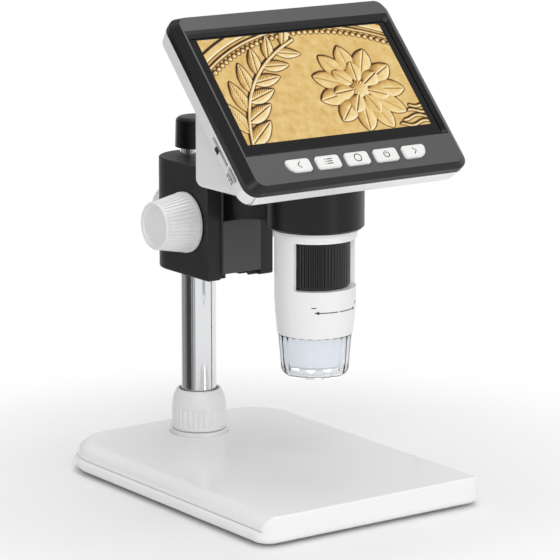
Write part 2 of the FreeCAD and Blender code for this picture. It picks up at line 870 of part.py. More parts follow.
def clear_nose():
    """Clear cover with upright prism ribs, a round foot and an open mouth."""
    top = tube_low
    foot = nose_low + nose_foot_height
    depth = 0.45
    band = 0.5
    low_root = nose_radius_low - depth
    top_root = nose_radius_top - depth
    sleeve = carrier_radius + 0.1
    lamp_room = nose_low + 1.4
    body = turned((nose_mouth, nose_low),
                  [(nose_foot_radius - 0.5, nose_low), (nose_foot_radius, nose_low + 0.2),
                   (nose_radius_low - 0.2, foot - 0.4, nose_radius_low, foot), (nose_radius_low, foot + band),
                   (low_root, foot + band), (top_root, top - band), (nose_radius_top, top - band),
                   (nose_radius_top, top), (sleeve, top), (sleeve, light_level),
                   (sleeve - 1.2, light_level - 0.6), (nose_foot_radius - 1.4, lamp_room),
                   (nose_mouth, lamp_room)])
    ribs = ribbed_drum(nose_radius_low, nose_radius_top, depth, nose_ribs, foot + band, top - band)
    core = turned((0, foot + band), [(low_root - 0.3, foot + band), (top_root - 0.3, top - band),
                                     (0, top - band)])
    return fused(body, ribs.cut(core)).translated(V(0, tube_y, 0))


def unit_outline(inset_x, inset_v, level, corner=unit_corner):
    return rounded_outline(unit_half_width - inset_x, unit_low + inset_v, unit_high - inset_v, corner, level)


def rear_rim(inset):
    """Drafted band behind the bezel, flat in the screen's frame; an inset gives its hollow."""
    back = rim_back + inset
    corner = unit_corner - inset
    draft = rim_draft * (seam_level - back) / rim_depth
    front = unit_outline(inset, inset, seam_level, corner)
    rear = unit_outline(inset + draft, inset + draft, back, corner)
    rim = Part.makeLoft([rear, front], True, True)
    if inset == 0:
        rim = rim.makeFillet(1.6, level_edges(rim, back))
    return on_screen(rim)


def rear_wedge(inset):
    """Wedge behind the rim with an upright back and a flat floor; an inset gives its hollow."""
    half = wedge_half_width - inset
    back = wedge_back - inset
    floor = wedge_bottom + inset
    level = rim_back + inset
    joint = level + 3.0
    low_v = screen_v(level, z=floor)
    high_v = screen_v(level, y=back)
    side = outline(screen_point(low_v, level), [(back, floor), screen_point(high_v, level),
                                                screen_point(high_v - 2.5, joint),
                                                screen_point(low_v + 2.5, joint)], in_side, -half)
    wedge = Part.Face(side).extrude(V(2 * half, 0, 0))
    radius = wedge_round - inset
    corners = []
    for edge in wedge.Edges:
        bounds = edge.BoundBox
        on_floor = abs(bounds.ZMin - floor) < 0.01 and abs(bounds.ZMax - floor) < 0.01
        on_back = abs(bounds.YMin - back) < 0.01 and abs(bounds.YMax - back) < 0.01
        across = bounds.XLength > half
        if (on_floor and on_back) or ((on_floor or on_back) and not across):
            corners.append(edge)
    return wedge.makeFillet(radius, corners)


housing_screw_x = unit_half_width - 6.0
housing_screw_v = unit_high - 5.0
boss_radius = 2.0


def rear_shell():
    """White rear housing of the display unit with its slots and holes."""
    outer = fused(rear_rim(0), rear_wedge(0))
    hollow = rear_rim(shell_wall).fuse(rear_wedge(shell_wall))
    cable_way = disc(deck_bore, wedge_bottom - 1, wedge_bottom + shell_wall + 1, 0, tube_y)
    left = -unit_half_width
    slot = box((left - 1, card_slot_v - card_slot_half_length, -7.0 - card_slot_half_width),
               (left + shell_wall + 1.5, card_slot_v + card_slot_half_length, -7.0 + card_slot_half_width))
    port = box((left - 1, port_v - port_half_length, board_front + 0.2),
               (left + shell_wall + 1.5, port_v + port_half_length, board_front + 0.2 + 2 * port_half_width))
    cuts = [cable_way, on_screen(slot), on_screen(port)]
    for side in (-1, 1):
        x = housing_screw_x * side
        cuts.append(on_screen(disc(screw_radius, rim_back - 1, board_back + 1, x, housing_screw_v)))
        cuts.append(on_screen(disc(screw_head_radius, rim_back - 1, rim_back + 1.1, x, housing_screw_v)))
    for x, y in neck_screw_places():
        cuts.append(disc(screw_radius, wedge_bottom - 1, wedge_bottom + shell_wall + 0.5, x, y))
    return outer.cut(hollow).cut(together(cuts)).Solids[0]


def housing_screws():
    screws = []
    for side in (-1, 1):
        x = housing_screw_x * side
        head = disc(screw_head_radius - 0.2, rim_back - 0.2, rim_back + 1.1, x, housing_screw_v)
        shank = disc(screw_radius - 0.05, rim_back + 1.1, seam_level - 1.0, x, housing_screw_v)
        screws.append(on_screen(fused(head, shank)))
    return together(screws)


def button_corners(grow):
    """Half width, half height and corner radius of a key or its opening."""
    return button_half_width + grow, button_half_height + grow, 1.6 + grow


def button_block(index, grow, low, high):
    """Upright block in the shape of one key; the end keys have a broad outer lower corner."""
    half_x, half_y, corner = button_corners(grow)
    middle = button_pitch * (index - (button_count - 1) / 2.0)
    low_v = button_v - half_y
    high_v = button_v + half_y
    block = slab(half_x, low_v, high_v, corner, low, high, middle)
    if index in (0, button_count - 1):
        side = -1 if index == 0 else 1
        sweep = 2 * half_y - corner - 0.1
        edge_x = middle + side * half_x
        centre_x = edge_x - side * sweep
        trim = box((min(centre_x, edge_x), low_v - 1, low - 1), (max(centre_x, edge_x), low_v + sweep, high + 1))
        trim = trim.fuse(box((min(edge_x, edge_x + side), low_v - 1, low - 1),
                             (max(edge_x, edge_x + side), low_v + sweep, high + 1)))
        block = block.cut(trim.cut(disc(sweep, low - 2, high + 2, centre_x, low_v + sweep)))
    return block


def front_bezel():
    """Black front frame: sloped edges, sunk window, key openings and screw bosses."""
    skirt = Part.Face(unit_outline(0, 0, seam_level)).extrude(V(0, 0, bezel_shoulder - seam_level))
    shoulder = unit_outline(0, 0, bezel_shoulder)
    face = rounded_outline(unit_half_width - bezel_side_slope, unit_low + bezel_end_slope,
                           unit_high - bezel_end_slope, unit_corner - bezel_end_slope, bezel_face)
    frame = fused(skirt, Part.makeLoft([shoulder, face], True, True))
    lip = 0.4
    low = window_low_v
    high = window_high_v
    inner = rounded_outline(window_half_width - window_slope, low + window_slope, high - window_slope, 1.2, lip)
    outer = rounded_outline(window_half_width, low, high, 2.2, bezel_face)
    slope = Part.makeLoft([inner, outer], True, True)
    sight = slab(window_half_width - window_slope, low + window_slope, high - window_slope, 1.2, -3, lip)
    glass_seat = slab(window_half_width - 0.3, low + 0.3, high - 0.3, 1.5, seam_level - 1, 0)
    panel_room = slab(panel_half_width + 0.25, panel_low - 0.3, panel_high + 0.3, 1.0,
                      seam_level - 1, -glass_thickness)
    reach = button_pitch * (button_count - 1) / 2.0 + button_half_width + 3.0
    key_room = slab(reach, button_v - button_half_height - 2.4, panel_low + 1, 1.0,
                    seam_level - 1, button_wall_back)
    cuts = [slope, sight, glass_seat, panel_room, key_room]
    for index in range(button_count):
        cuts.append(button_block(index, seat_gap, button_wall_back - 1, bezel_face + 1))
    bosses = []
    for side in (-1, 1):
        x = housing_screw_x * side
        bosses.append(disc(boss_radius, board_back + 0.1, seam_level + 0.5, x, housing_screw_v))
        cuts.append(disc(screw_radius, board_back - 1, seam_level - 0.9, x, housing_screw_v))
    body = fused(frame, *bosses)
    for cut in cuts:
        body = body.cut(cut)
    return on_screen(body.Solids[0])


def cover_glass():
    margin = 0.5
    return on_screen(slab(window_half_width - margin, window_low_v + margin, window_high_v - margin, 1.3,
                          -glass_thickness, 0))


def lcd_panel():
    return on_screen(slab(panel_half_width, panel_low, panel_high, 0.8,
                          -glass_thickness - panel_thickness, -glass_thickness))


def button(index):
    """One key: a proud cap with soft top edges and a flange behind the bezel."""
    top = bezel_face + button_proud
    flange_top = button_wall_back - seat_gap
    flange_low = flange_top - 1.0
    cap = button_block(index, 0, flange_low, top)
    cap = cap.makeChamfer(0.5, level_edges(cap, top))
    flange = button_block(index, seat_gap + button_flange, flange_low, flange_top)
    return on_screen(fused(cap, flange))


def key_pad():
    """Rubber mat on the board with one post under each key."""
    reach = button_pitch * (button_count - 1) / 2.0 + button_half_width
    post_top = button_wall_back - seat_gap - 1.0 - button_travel - 0.1
    pieces = [slab(reach, button_v - button_half_height, button_v + button_half_height, 1.0,
                   board_front, board_front + 1.0)]
    for index in range(button_count):
        middle = button_pitch * (index - (button_count - 1) / 2.0)
        pieces.append(disc(key_post_radius, board_front, post_top, middle, button_v))
    return on_screen(fused(*pieces))


def main_board():
    return on_screen(slab(board_half_width, board_low, board_high, 2.0, board_back, board_front))


def battery():
    middle = (battery_left + battery_right) / 2.0
    half = (battery_right - battery_left) / 2.0
    return on_screen(slab(half, battery_low, battery_high, 2.0, board_back - battery_thickness,
                          board_back, middle))


def card_socket():
    """Thin metal socket behind the card slot, open to the slot."""
    left = -unit_half_width + shell_wall + rim_draft
    low_v = card_slot_v - card_slot_half_length
    high_v = card_slot_v + card_slot_half_length
    top = board_front + 2.4
    body = box((left, low_v, board_front), (left + 14, high_v, top))
    mouth = box((left - 1, low_v + 1, board_front + 0.6), (left + 12, high_v - 1, top - 0.5))
    return on_screen(body.cut(mouth))


def power_port():
    """Small socket with a metal shell and its contact tongue."""
    left = -unit_half_width + shell_wall + rim_draft
    low_v = port_v - port_half_length + 0.2
    high_v = port_v + port_half_length - 0.2
    top = board_front + 2 * port_half_width
    wall = 0.4
    body = box((left, low_v, board_front), (left + 6, high_v, top))
    mouth = box((left - 1, low_v + wall, board_front + wall), (left + 5, high_v - wall, top - wall))
    tongue = box((left + 0.8, low_v + 1.4, board_front + 1.2), (left + 5.5, high_v - 1.4, board_front + 1.8))
    return on_screen(body.cut(mouth).fuse(tongue))


PIECES = {
    "base_top_shell": base_top_shell,
    "base_bottom_tray": base_bottom_tray,
    "rubber_feet": rubber_feet,
    "ballast_plate": ballast_plate,
    "base_screws": base_screws,
    "pillar_flange": pillar_flange,
    "flange_screws": flange_screws,
    "collar_nut": collar_nut,
    "pillar_tube": pillar_tube,
    "pillar_cap": pillar_cap,
    "bracket_body": bracket_body,
    "shaft_bushes": shaft_bushes,
    "clamp_shoe": clamp_shoe,
    "lock_screw": lock_screw,
    "lock_knob": lock_knob,
    "pinion_shaft": pinion_shaft,
    "pinion_gear": pinion_gear,
    "gear_rack": gear_rack,
    "carriage_plate": carriage_plate,
    "arm_screws": arm_screws,
    "holder_arm": holder_arm,
    "ring_liner": ring_liner,
    "tube_shell": tube_shell,
    "tube_screws": tube_screws,
    "focus_wheel": focus_wheel,
    "lens_barrel": lens_barrel,
    "objective_lens": objective_lens,
    "lens_retainer": lens_retainer,
    "sensor_board": sensor_board,
    "image_sensor": image_sensor,
    "sensor_cable": sensor_cable,
    "led_carrier": led_carrier,
    "led_board": led_board,
    "leds": leds,
    "clear_nose": clear_nose,
    "rear_shell": rear_shell,
    "housing_screws": housing_screws,
    "front_bezel": front_bezel,
    "cover_glass": cover_glass,
    "lcd_panel": lcd_panel,
    "key_pad": key_pad,
    "main_board": main_board,
    "battery": battery,
    "card_socket": card_socket,
    "power_port": power_port,
}
BUTTON_NAMES = ("button_back", "button_menu", "button_confirm", "button_power", "button_forward")

os.makedirs("parts", exist_ok=True)
for node, make in PIECES.items():
    save(node, make())
for side, name in ((-1, "focus_knob_left"), (1, "focus_knob_right")):
    save(name, focus_knob(side))
for index, name in enumerate(BUTTON_NAMES):
    save(name, button(index))
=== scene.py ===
# %% [markdown]
# A desk microscope with its own tilted display, dressed for a studio picture.
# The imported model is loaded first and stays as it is: it says where every piece is and how it moves.
# This script adds what the solids leave out, such as the lit picture, the printed signs and the
# clear nose, and gives every surface its finish. Everything is in metres, in the model's own frame.

import math

import bmesh
import bpy
import numpy as np
from mathutils import Matrix, Vector


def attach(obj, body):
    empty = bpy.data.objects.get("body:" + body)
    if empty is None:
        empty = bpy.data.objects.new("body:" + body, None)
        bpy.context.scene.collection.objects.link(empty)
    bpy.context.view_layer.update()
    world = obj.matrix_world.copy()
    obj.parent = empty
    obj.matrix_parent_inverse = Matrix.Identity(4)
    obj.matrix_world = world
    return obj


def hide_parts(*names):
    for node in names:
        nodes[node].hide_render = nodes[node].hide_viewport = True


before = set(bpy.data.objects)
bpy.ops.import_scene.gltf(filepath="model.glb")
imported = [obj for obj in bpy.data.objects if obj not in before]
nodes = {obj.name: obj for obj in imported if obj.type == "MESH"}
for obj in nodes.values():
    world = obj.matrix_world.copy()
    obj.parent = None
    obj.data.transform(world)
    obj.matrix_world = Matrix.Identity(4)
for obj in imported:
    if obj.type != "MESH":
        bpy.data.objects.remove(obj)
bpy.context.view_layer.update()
MM = 0.001

# %% [markdown]
# Colours are written as they look on a screen, in hex. The renderer works with light, so one function
# turns each colour to linear values. A second small function adds a shader node with its settings and
# its links, which keeps every material below short enough to read.

# %% Colour and node helpers


def linear(code):
    """Linear red, green and blue with full alpha, from an sRGB hex colour."""
    parts = [int(code[i:i + 2], 16) / 255 for i in (1, 3, 5)]
    return tuple(p / 12.92 if p <= 0.04045 else ((p + 0.055) / 1.055) ** 2.4 for p in parts) + (1.0,)


def add_node(tree, kind, values=None, links=None, **settings):
    """One shader node with its attributes, its input values and its input links."""
    made = tree.nodes.new(kind)
    for name, value in settings.items():
        setattr(made, name, value)
    for name, value in (values or {}).items():
        made.inputs[name].default_value = value
    for name, source in (links or {}).items():
        tree.links.new(source, made.inputs[name])
    return made


def new_material(name, colour, roughness, **values):
    """A Principled material; further shader values are given by name with underscores for spaces."""
    material = bpy.data.materials.new(name)
    material.use_nodes = True
    shader = material.node_tree.nodes["Principled BSDF"]
    shader.inputs["Base Color"].default_value = linear(colour)
    shader.inputs["Roughness"].default_value = roughness
    for key, value in values.items():
        shader.inputs[key.replace("_", " ")].default_value = value
    return material


def grain(material, spacing_mm, depth_mm, detail=2.0, stretch=(1, 1, 1)):
    """Fine moulded or sprayed texture: noise with cells of a real spacing, used as bump."""
    tree = material.node_tree
    place = add_node(tree, "ShaderNodeTexCoord")
    scaled = add_node(tree, "ShaderNodeMapping", {"Scale": stretch}, {"Vector": place.outputs["Object"]})
    noise = add_node(tree, "ShaderNodeTexNoise", {"Scale": 1 / (spacing_mm * MM), "Detail": detail},
                     {"Vector": scaled.outputs["Vector"]})
    bump = add_node(tree, "ShaderNodeBump", {"Strength": 1.0, "Distance": depth_mm * MM},
                    {"Height": noise.outputs["Fac"]})
    tree.links.new(bump.outputs["Normal"], tree.nodes["Principled BSDF"].inputs["Normal"])


def uneven(material, spacing_mm, low, high):
    """Handled surfaces aren't evenly glossy: roughness drifts between two values over a real distance."""
    tree = material.node_tree
    place = add_node(tree, "ShaderNodeTexCoord")
    noise = add_node(tree, "ShaderNodeTexNoise", {"Scale": 1 / (spacing_mm * MM), "Detail": 3.0},
                     {"Vector": place.outputs["Object"]})
    spread = add_node(tree, "ShaderNodeMapRange",
                      {"From Min": 0.3, "From Max": 0.7, "To Min": low, "To Max": high},
                      {"Value": noise.outputs["Fac"]})
    tree.links.new(spread.outputs["Result"], tree.nodes["Principled BSDF"].inputs["Roughness"])


# %% [markdown]
# The housings are injection moulded ABS. White ABS has a satin skin that reflects lamps as soft
# shapes; the base comes from a polished tool and is glossier. The black parts have a satin surface that
# goes grey where light grazes them. A noise bump gives the grain, drawn a little coarser than the real
# one so that it can show, and a slow drift of the roughness keeps a large wall from looking drawn.

# %% Plastics
white_abs = new_material("White ABS, satin moulded", "#F0F0F0", 0.3, IOR=1.53)
grain(white_abs, 0.6, 0.004)
uneven(white_abs, 60, 0.31, 0.34)
base_abs = new_material("White ABS, polished tool", "#F6F6F6", 0.14, IOR=1.53)
uneven(base_abs, 30, 0.12, 0.18)
knob_abs = new_material("White ABS, fluted knob", "#EFEFEE", 0.38, IOR=1.53)
grain(knob_abs, 0.5, 0.006)
key_abs = new_material("White ABS, key cap", "#E4E4E2", 0.3, IOR=1.53)
grain(key_abs, 0.4, 0.003)
black_abs = new_material("Black ABS, satin tool", "#0A0A0B", 0.3, IOR=1.53, Specular_IOR_Level=0.3)
grain(black_abs, 0.4, 0.006)
uneven(black_abs, 15, 0.27, 0.35)
wheel_abs = new_material("Black ABS, knurled wheel", "#040404", 0.2, IOR=1.53, Specular_IOR_Level=0.5)
foot_rubber = new_material("Rubber, moulded feet", "#161616", 0.75)
grain(foot_rubber, 0.5, 0.02)
key_rubber = new_material("Silicone rubber mat", "#8C8C8C", 0.6)
dark_cavity = new_material("Black film behind the glass", "#050505", 0.5)

# %% [markdown]
# Metals. The pillar is steel tube with bright chrome plate: metallic, nearly a mirror, with a gloss that
# drifts a little, as polishing by hand leaves it. The block is powder coated, a thick matt skin with an
# orange peel, and the carriage has a greyer paint. Inside are brass, zinc plated steel and boards.

# %% Metals and small finishes
chrome = new_material("Chrome plate, polished tube", "#E2E3E4", 0.09, Metallic=1.0)
uneven(chrome, 12, 0.08, 0.11)
powder_coat = new_material("Black powder coat on die cast zinc", "#2B2B2C", 0.42,
                           IOR=1.5, Specular_IOR_Level=0.3)
grain(powder_coat, 0.7, 0.01)
uneven(powder_coat, 12, 0.38, 0.48)
plate_coat = new_material("Grey-black paint on the carriage", "#565658", 0.45,
                          IOR=1.5, Specular_IOR_Level=0.3)
grain(plate_coat, 0.5, 0.006)
steel = new_material("Zinc plated steel", "#B9BABC", 0.3, Metallic=1.0)
grain(steel, 0.3, 0.006)
black_screw = new_material("Black oxide steel screw", "#3A3A3C", 0.35, Metallic=1.0)
brass = new_material("Turned brass", "#C9A253", 0.25, Metallic=1.0)
solder_mask = new_material("Green solder mask", "#0F4A2A", 0.35)
white_mask = new_material("White solder mask", "#EDEDEA", 0.4)
battery_wrap = new_material("Blue shrink wrap", "#2C5FA8", 0.35)
chip_resin = new_material("Black epoxy chip", "#101010", 0.3)
film = new_material("Polyimide film", "#B9741C", 0.3)
lens_glass = new_material("Coated lens glass", "#E8F0FF", 0.02, IOR=1.6, Transmission_Weight=1.0)
clear_acrylic = new_material("Clear moulded acrylic", "#F3F5F7", 0.03, IOR=1.4, Transmission_Weight=1.0)
# The light guide's weak glow is painted light, standing in for the light of the lamps spread through it.
haze = new_material("Frosted light guide with painted glow", "#F2F5F8", 0.5, IOR=1.45,
                    Emission_Color=linear("#F0F3FA"), Emission_Strength=0.2)
lamp = new_material("White lamp, lit", "#FFFFFF", 0.3,
                    Emission_Color=linear("#F2F7FF"), Emission_Strength=3.0)

# %% [markdown]
# Every piece of the model gets its finish from one table, so that it is easy to see what is made of what.
# The bezel, the cover glass and the clear nose are missing from it, because each has its own step below.

# %% Finishes on the model's pieces
FINISHES = {
    white_abs: ("tube_shell", "rear_shell"),
    haze: ("led_carrier",),
    base_abs: ("base_top_shell", "base_bottom_tray"),
    knob_abs: ("focus_knob_left", "focus_knob_right", "lock_knob", "collar_nut", "pillar_flange"),
    key_abs: ("button_back", "button_menu", "button_confirm", "button_power", "button_forward"),
    black_abs: ("pillar_cap", "ring_liner", "holder_arm"),
    wheel_abs: ("focus_wheel", "lens_barrel", "lens_retainer"),
    foot_rubber: ("rubber_feet",),
    key_rubber: ("key_pad",),
    dark_cavity: ("lcd_panel",),
    chrome: ("pillar_tube",),
    powder_coat: ("bracket_body",),
    plate_coat: ("carriage_plate",),
    steel: ("ballast_plate", "base_screws", "flange_screws", "lock_screw", "pinion_shaft", "tube_screws",
            "card_socket", "power_port"),
    black_screw: ("arm_screws", "housing_screws"),
    brass: ("pinion_gear", "gear_rack", "shaft_bushes", "clamp_shoe"),
    solder_mask: ("sensor_board", "main_board"),
    white_mask: ("led_board",),
    battery_wrap: ("battery",),
    chip_resin: ("image_sensor",),
    film: ("sensor_cable",),
    lens_glass: ("objective_lens",),
    lamp: ("leds",),
}
for finish, names in FINISHES.items():
    for name in names:
        for slot in nodes[name].material_slots:
            slot.material = finish
print("finishes set on", sum(len(names) for names in FINISHES.values()), "nodes")

# %% [markdown]
# Every new piece is a surface computed as arrays. Two small functions put arrays into a mesh: one takes
# points and faces, the other sews a rectangular grid of points. Pieces stay at the origin; their
# place is in their points, as it is in the model's own pieces.

# %% Mesh helpers


def make_piece(name, points, faces, body, finish, smooth=False):
    """A mesh piece from an array of points in metres and a list of faces, riding on one body."""
    mesh = bpy.data.meshes.new(name)
    mesh.from_pydata(np.asarray(points).tolist(), [], faces)
    mesh.validate()
    mesh.polygons.foreach_set("use_smooth", np.full(len(mesh.polygons), smooth))
    mesh.materials.append(finish)
    piece = bpy.data.objects.new(name, mesh)
    bpy.context.collection.objects.link(piece)
    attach(piece, body)
    return piece


def grid_faces(rows, columns, wrap=False, start=0):
    """Quads that sew a grid of points stored row by row; wrap joins the last column to the first."""
    r, c = np.meshgrid(np.arange(rows - 1), np.arange(columns if wrap else columns - 1), indexing="ij")
    here = start + r * columns + c
    beside = start + r * columns + (c + 1) % columns
    return np.stack([here, beside, beside + columns, here + columns], -1).reshape(-1, 4).tolist()


# %% [markdown]
# The display leans back. A point on it is easiest to name by how far it is to the right, how far up
# the slanted face and how far out of it, measured from the middle of the picture. This function turns
# such points to the model's frame with one rotation.

# %% The slanted frame of the display
SCREEN_TILT = math.radians(46.3)
SCREEN_MIDDLE = np.array([0, -36.9, 184.1])
UP_SCREEN = np.array([0, math.cos(SCREEN_TILT), math.sin(SCREEN_TILT)])
OUT_OF_SCREEN = np.array([0, -math.sin(SCREEN_TILT), math.cos(SCREEN_TILT)])


def on_screen(points):
    """Metres in the model's frame, from millimetres right, up and out of the slanted face."""
    p = np.asarray(points, float)
    place = SCREEN_MIDDLE + p[..., 0:1] * [1.0, 0, 0] + p[..., 1:2] * UP_SCREEN + p[..., 2:3] * OUT_OF_SCREEN
    return place * MM


# %% [markdown]
# The bezel is one black moulding, and its colour holds painted light. Its flat front gets a grey painted
# sheen, standing in for the bright room above that it reflects, while the bevels round it and a narrow
# frame round the window get near black painted shade. The shader tells the two apart by itself. A bevel
# is where the surface's normal leaves the direction out of the screen, and the frame is a rectangle
# measured on the slanted face. Both read the object's own frame, so they hold in every pose.

# %% Where the bezel gets painted shade and where painted sheen
FRONT_MATCH = (0.97, 0.99)
FRAME_LOW = -33.7
FRAME_HIGH = 31.0
FRAME_SIDE = 52.7
# Painted light on the bezel: near black painted shade for the bevels and frame, grey painted sheen for the
# front.
BEVEL_PAINTED_SHADE, FRONT_PAINTED_SHEEN = "#101011", "#525252"
bezel_abs = new_material("Black ABS, polished bevels and textured front", "#161617", 0.3,
                         IOR=1.53, Specular_IOR_Level=0.35)
grain(bezel_abs, 0.35, 0.004)
bezel_tree = bezel_abs.node_tree
bezel_place = add_node(bezel_tree, "ShaderNodeTexCoord")
faces_out = add_node(bezel_tree, "ShaderNodeVectorMath", {1: OUT_OF_SCREEN.tolist()},
                     {0: bezel_place.outputs["Normal"]}, operation="DOT_PRODUCT")
is_front = add_node(bezel_tree, "ShaderNodeMapRange",
                    {"From Min": FRONT_MATCH[0], "From Max": FRONT_MATCH[1]},
                    {"Value": faces_out.outputs["Value"]})
from_middle = add_node(bezel_tree, "ShaderNodeVectorMath", {1: (SCREEN_MIDDLE * MM).tolist()},
                       {0: bezel_place.outputs["Object"]}, operation="SUBTRACT")
up_face = add_node(bezel_tree, "ShaderNodeVectorMath", {1: UP_SCREEN.tolist()},
                   {0: from_middle.outputs["Vector"]}, operation="DOT_PRODUCT")
along_face = add_node(bezel_tree, "ShaderNodeVectorMath", {1: (1, 0, 0)},
                      {0: from_middle.outputs["Vector"]}, operation="DOT_PRODUCT")
side_way = add_node(bezel_tree, "ShaderNodeMath", links={0: along_face.outputs["Value"]},
                    operation="ABSOLUTE")
above_low = add_node(bezel_tree, "ShaderNodeMath", {1: FRAME_LOW * MM},
                     {0: up_face.outputs["Value"]}, operation="GREATER_THAN")
below_high = add_node(bezel_tree, "ShaderNodeMath", {1: FRAME_HIGH * MM},
                      {0: up_face.outputs["Value"]}, operation="LESS_THAN")
between = add_node(bezel_tree, "ShaderNodeMath", {1: FRAME_SIDE * MM},
                   {0: side_way.outputs["Value"]}, operation="LESS_THAN")
in_height = add_node(bezel_tree, "ShaderNodeMath", operation="MULTIPLY",
                     links={0: above_low.outputs["Value"], 1: below_high.outputs["Value"]})
in_frame = add_node(bezel_tree, "ShaderNodeMath", operation="MULTIPLY",
                    links={0: in_height.outputs["Value"], 1: between.outputs["Value"]})
# Where the grey painted sheen goes: the flat front, outside the frame round the window.
painted_sheen_mask = add_node(bezel_tree, "ShaderNodeMath", operation="SUBTRACT", use_clamp=True,
                    links={0: is_front.outputs["Result"], 1: in_frame.outputs["Value"]})
print("bezel frame", 2 * FRAME_SIDE, "by", FRAME_HIGH - FRAME_LOW, "mm")

# %% [markdown]
# A colour ramp turns that answer into the colour: near black painted shade on the bevels and the frame,
# and a grey painted sheen on the flat front.

# %% Colour of the bezel
bezel_colour = add_node(bezel_tree, "ShaderNodeValToRGB", links={"Fac": painted_sheen_mask.outputs["Value"]})
bezel_colour.color_ramp.elements[0].color = linear(BEVEL_PAINTED_SHADE)
bezel_colour.color_ramp.elements[1].color = linear(FRONT_PAINTED_SHEEN)
bezel_tree.links.new(bezel_colour.outputs["Color"], bezel_tree.nodes["Principled BSDF"].inputs["Base Color"])
for slot in nodes["front_bezel"].material_slots:
    slot.material = bezel_abs
print("bezel slots", len(nodes["front_bezel"].material_slots))

# %% [markdown]
# The wedge behind the display is a little narrower on the real housing than in the model. The model's
# own mesh is never changed, so a copy of it is made: its loose triangles are merged, and the points of
# the wedge's two side walls move inwards by a fixed distance. Everything else keeps its place, and the
# copy then stands for the model's piece.

# %% Narrower wedge
WEDGE_HALF_WIDTH = 53.0
WEDGE_NARROWER = 4.5
WEDGE_ROUND = 4.0
WEDGE_BACK = -16.0
WEDGE_FLOOR = 141.5
RIM_INSIDE = -9.7
MERGE_DISTANCE = 0.002
SLACK = 0.1
shell_mesh = nodes["rear_shell"].data.copy()
merged = bmesh.new()
merged.from_mesh(shell_mesh)
bmesh.ops.remove_doubles(merged, verts=merged.verts, dist=MERGE_DISTANCE * MM)
merged.to_mesh(shell_mesh)
merged.free()
flat = np.empty(3 * len(shell_mesh.vertices))
shell_mesh.vertices.foreach_get("co", flat)
places = flat.reshape(-1, 3) / MM
sideways = np.abs(places[:, 0])
in_wall = (sideways > WEDGE_HALF_WIDTH - WEDGE_ROUND - SLACK) & (sideways < WEDGE_HALF_WIDTH + SLACK / 2)
behind_rim = (places - SCREEN_MIDDLE) @ OUT_OF_SCREEN < RIM_INSIDE
within_wedge = (places[:, 1] < WEDGE_BACK + SLACK) & (places[:, 2] > WEDGE_FLOOR - SLACK)
moved = in_wall & behind_rim & within_wedge
places[moved, 0] -= WEDGE_NARROWER * np.sign(places[moved, 0])
shell_mesh.vertices.foreach_set("co", (places * MM).ravel())
shell_mesh.update()
shell = bpy.data.objects.new("rear_shell_narrow", shell_mesh)
bpy.context.collection.objects.link(shell)
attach(shell, "head")
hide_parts("rear_shell")
print("wedge points moved", int(moved.sum()), "of", len(places))

# %% [markdown]
# The lit picture is a close view of a struck metal relief in warm gold: a branch of leaves, a flower
# with two rings of petals and an arc of the rim with its beads. It could be painted with shader nodes,
# but shapes like leaves are clearer as a height map. So the heights are computed on a fine grid, a
# slope is taken from them, and light from the upper left turns slopes to tones from brown to pale gold.

# %% Heights of the struck relief
PICTURE_HALF = (47.52, 26.93)
PICTURE_COLUMNS = 396
PICTURE_ROWS = 226


def leaf(x, y, root, angle, length, width):
    """Height of one leaf: a dome that narrows to both ends, with a groove along it and slant veins."""
    u = (x - root[0]) * math.cos(angle) + (y - root[1]) * math.sin(angle)
    v = -(x - root[0]) * math.sin(angle) + (y - root[1]) * math.cos(angle)
    along = np.clip(u / length, 0, 1)
    half = width * np.sin(np.pi * along ** 0.8) ** 0.75 + 1e-6
    dome = np.sqrt(np.clip(1 - (v / half) ** 2, 0, 1))
    rib = 1 - 0.45 * np.exp(-(v / 0.28) ** 2)
    veins = 1 + 0.07 * np.sin(4.2 * (u - 1.3 * np.abs(v)))
    return np.where((u > 0) & (u < length), dome * rib * veins, 0)


def petals(x, y, middle, count, inner, outer, width, turn):
    """Height of a ring of equal petals round a middle point."""
    dx, dy = x - middle[0], y - middle[1]
    radius = np.hypot(dx, dy)
    step = 2 * math.pi / count
    angle = (np.arctan2(dy, dx) + turn + step / 2) % step - step / 2
    along = np.clip((radius - inner) / (outer - inner), 0, 1)
    half = width * np.sin(np.pi * along ** 1.3) ** 0.7 + 1e-6
    across = radius * np.sin(angle)
    dome = np.sqrt(np.clip(1 - (across / half) ** 2, 0, 1))
    crease = 1 - 0.35 * np.exp(-(across / 0.3) ** 2)
    return np.where((radius > inner) & (radius < outer), dome * crease, 0)


def band(distance, half, soft):
    """Height of a raised line: full within half its width and falling off over a soft edge."""
    return np.clip((half + soft - np.abs(distance)) / soft, 0, 1)


# %% [markdown]
# Each motif is laid over the heights so far, and the higher of the two wins, as struck metal shows. The
# branch is a quadratic curve through three points with a leaf at every step, left and right in turn.

# %% The branch
STEM = np.array([(-45.0, -27), (-37.0, 8), (-1.0, 23)])
STEM_STEPS = 12
LEAF_LONG, LEAF_SHORTER = 17.5, 6.0
LEAF_SPREAD = 0.66


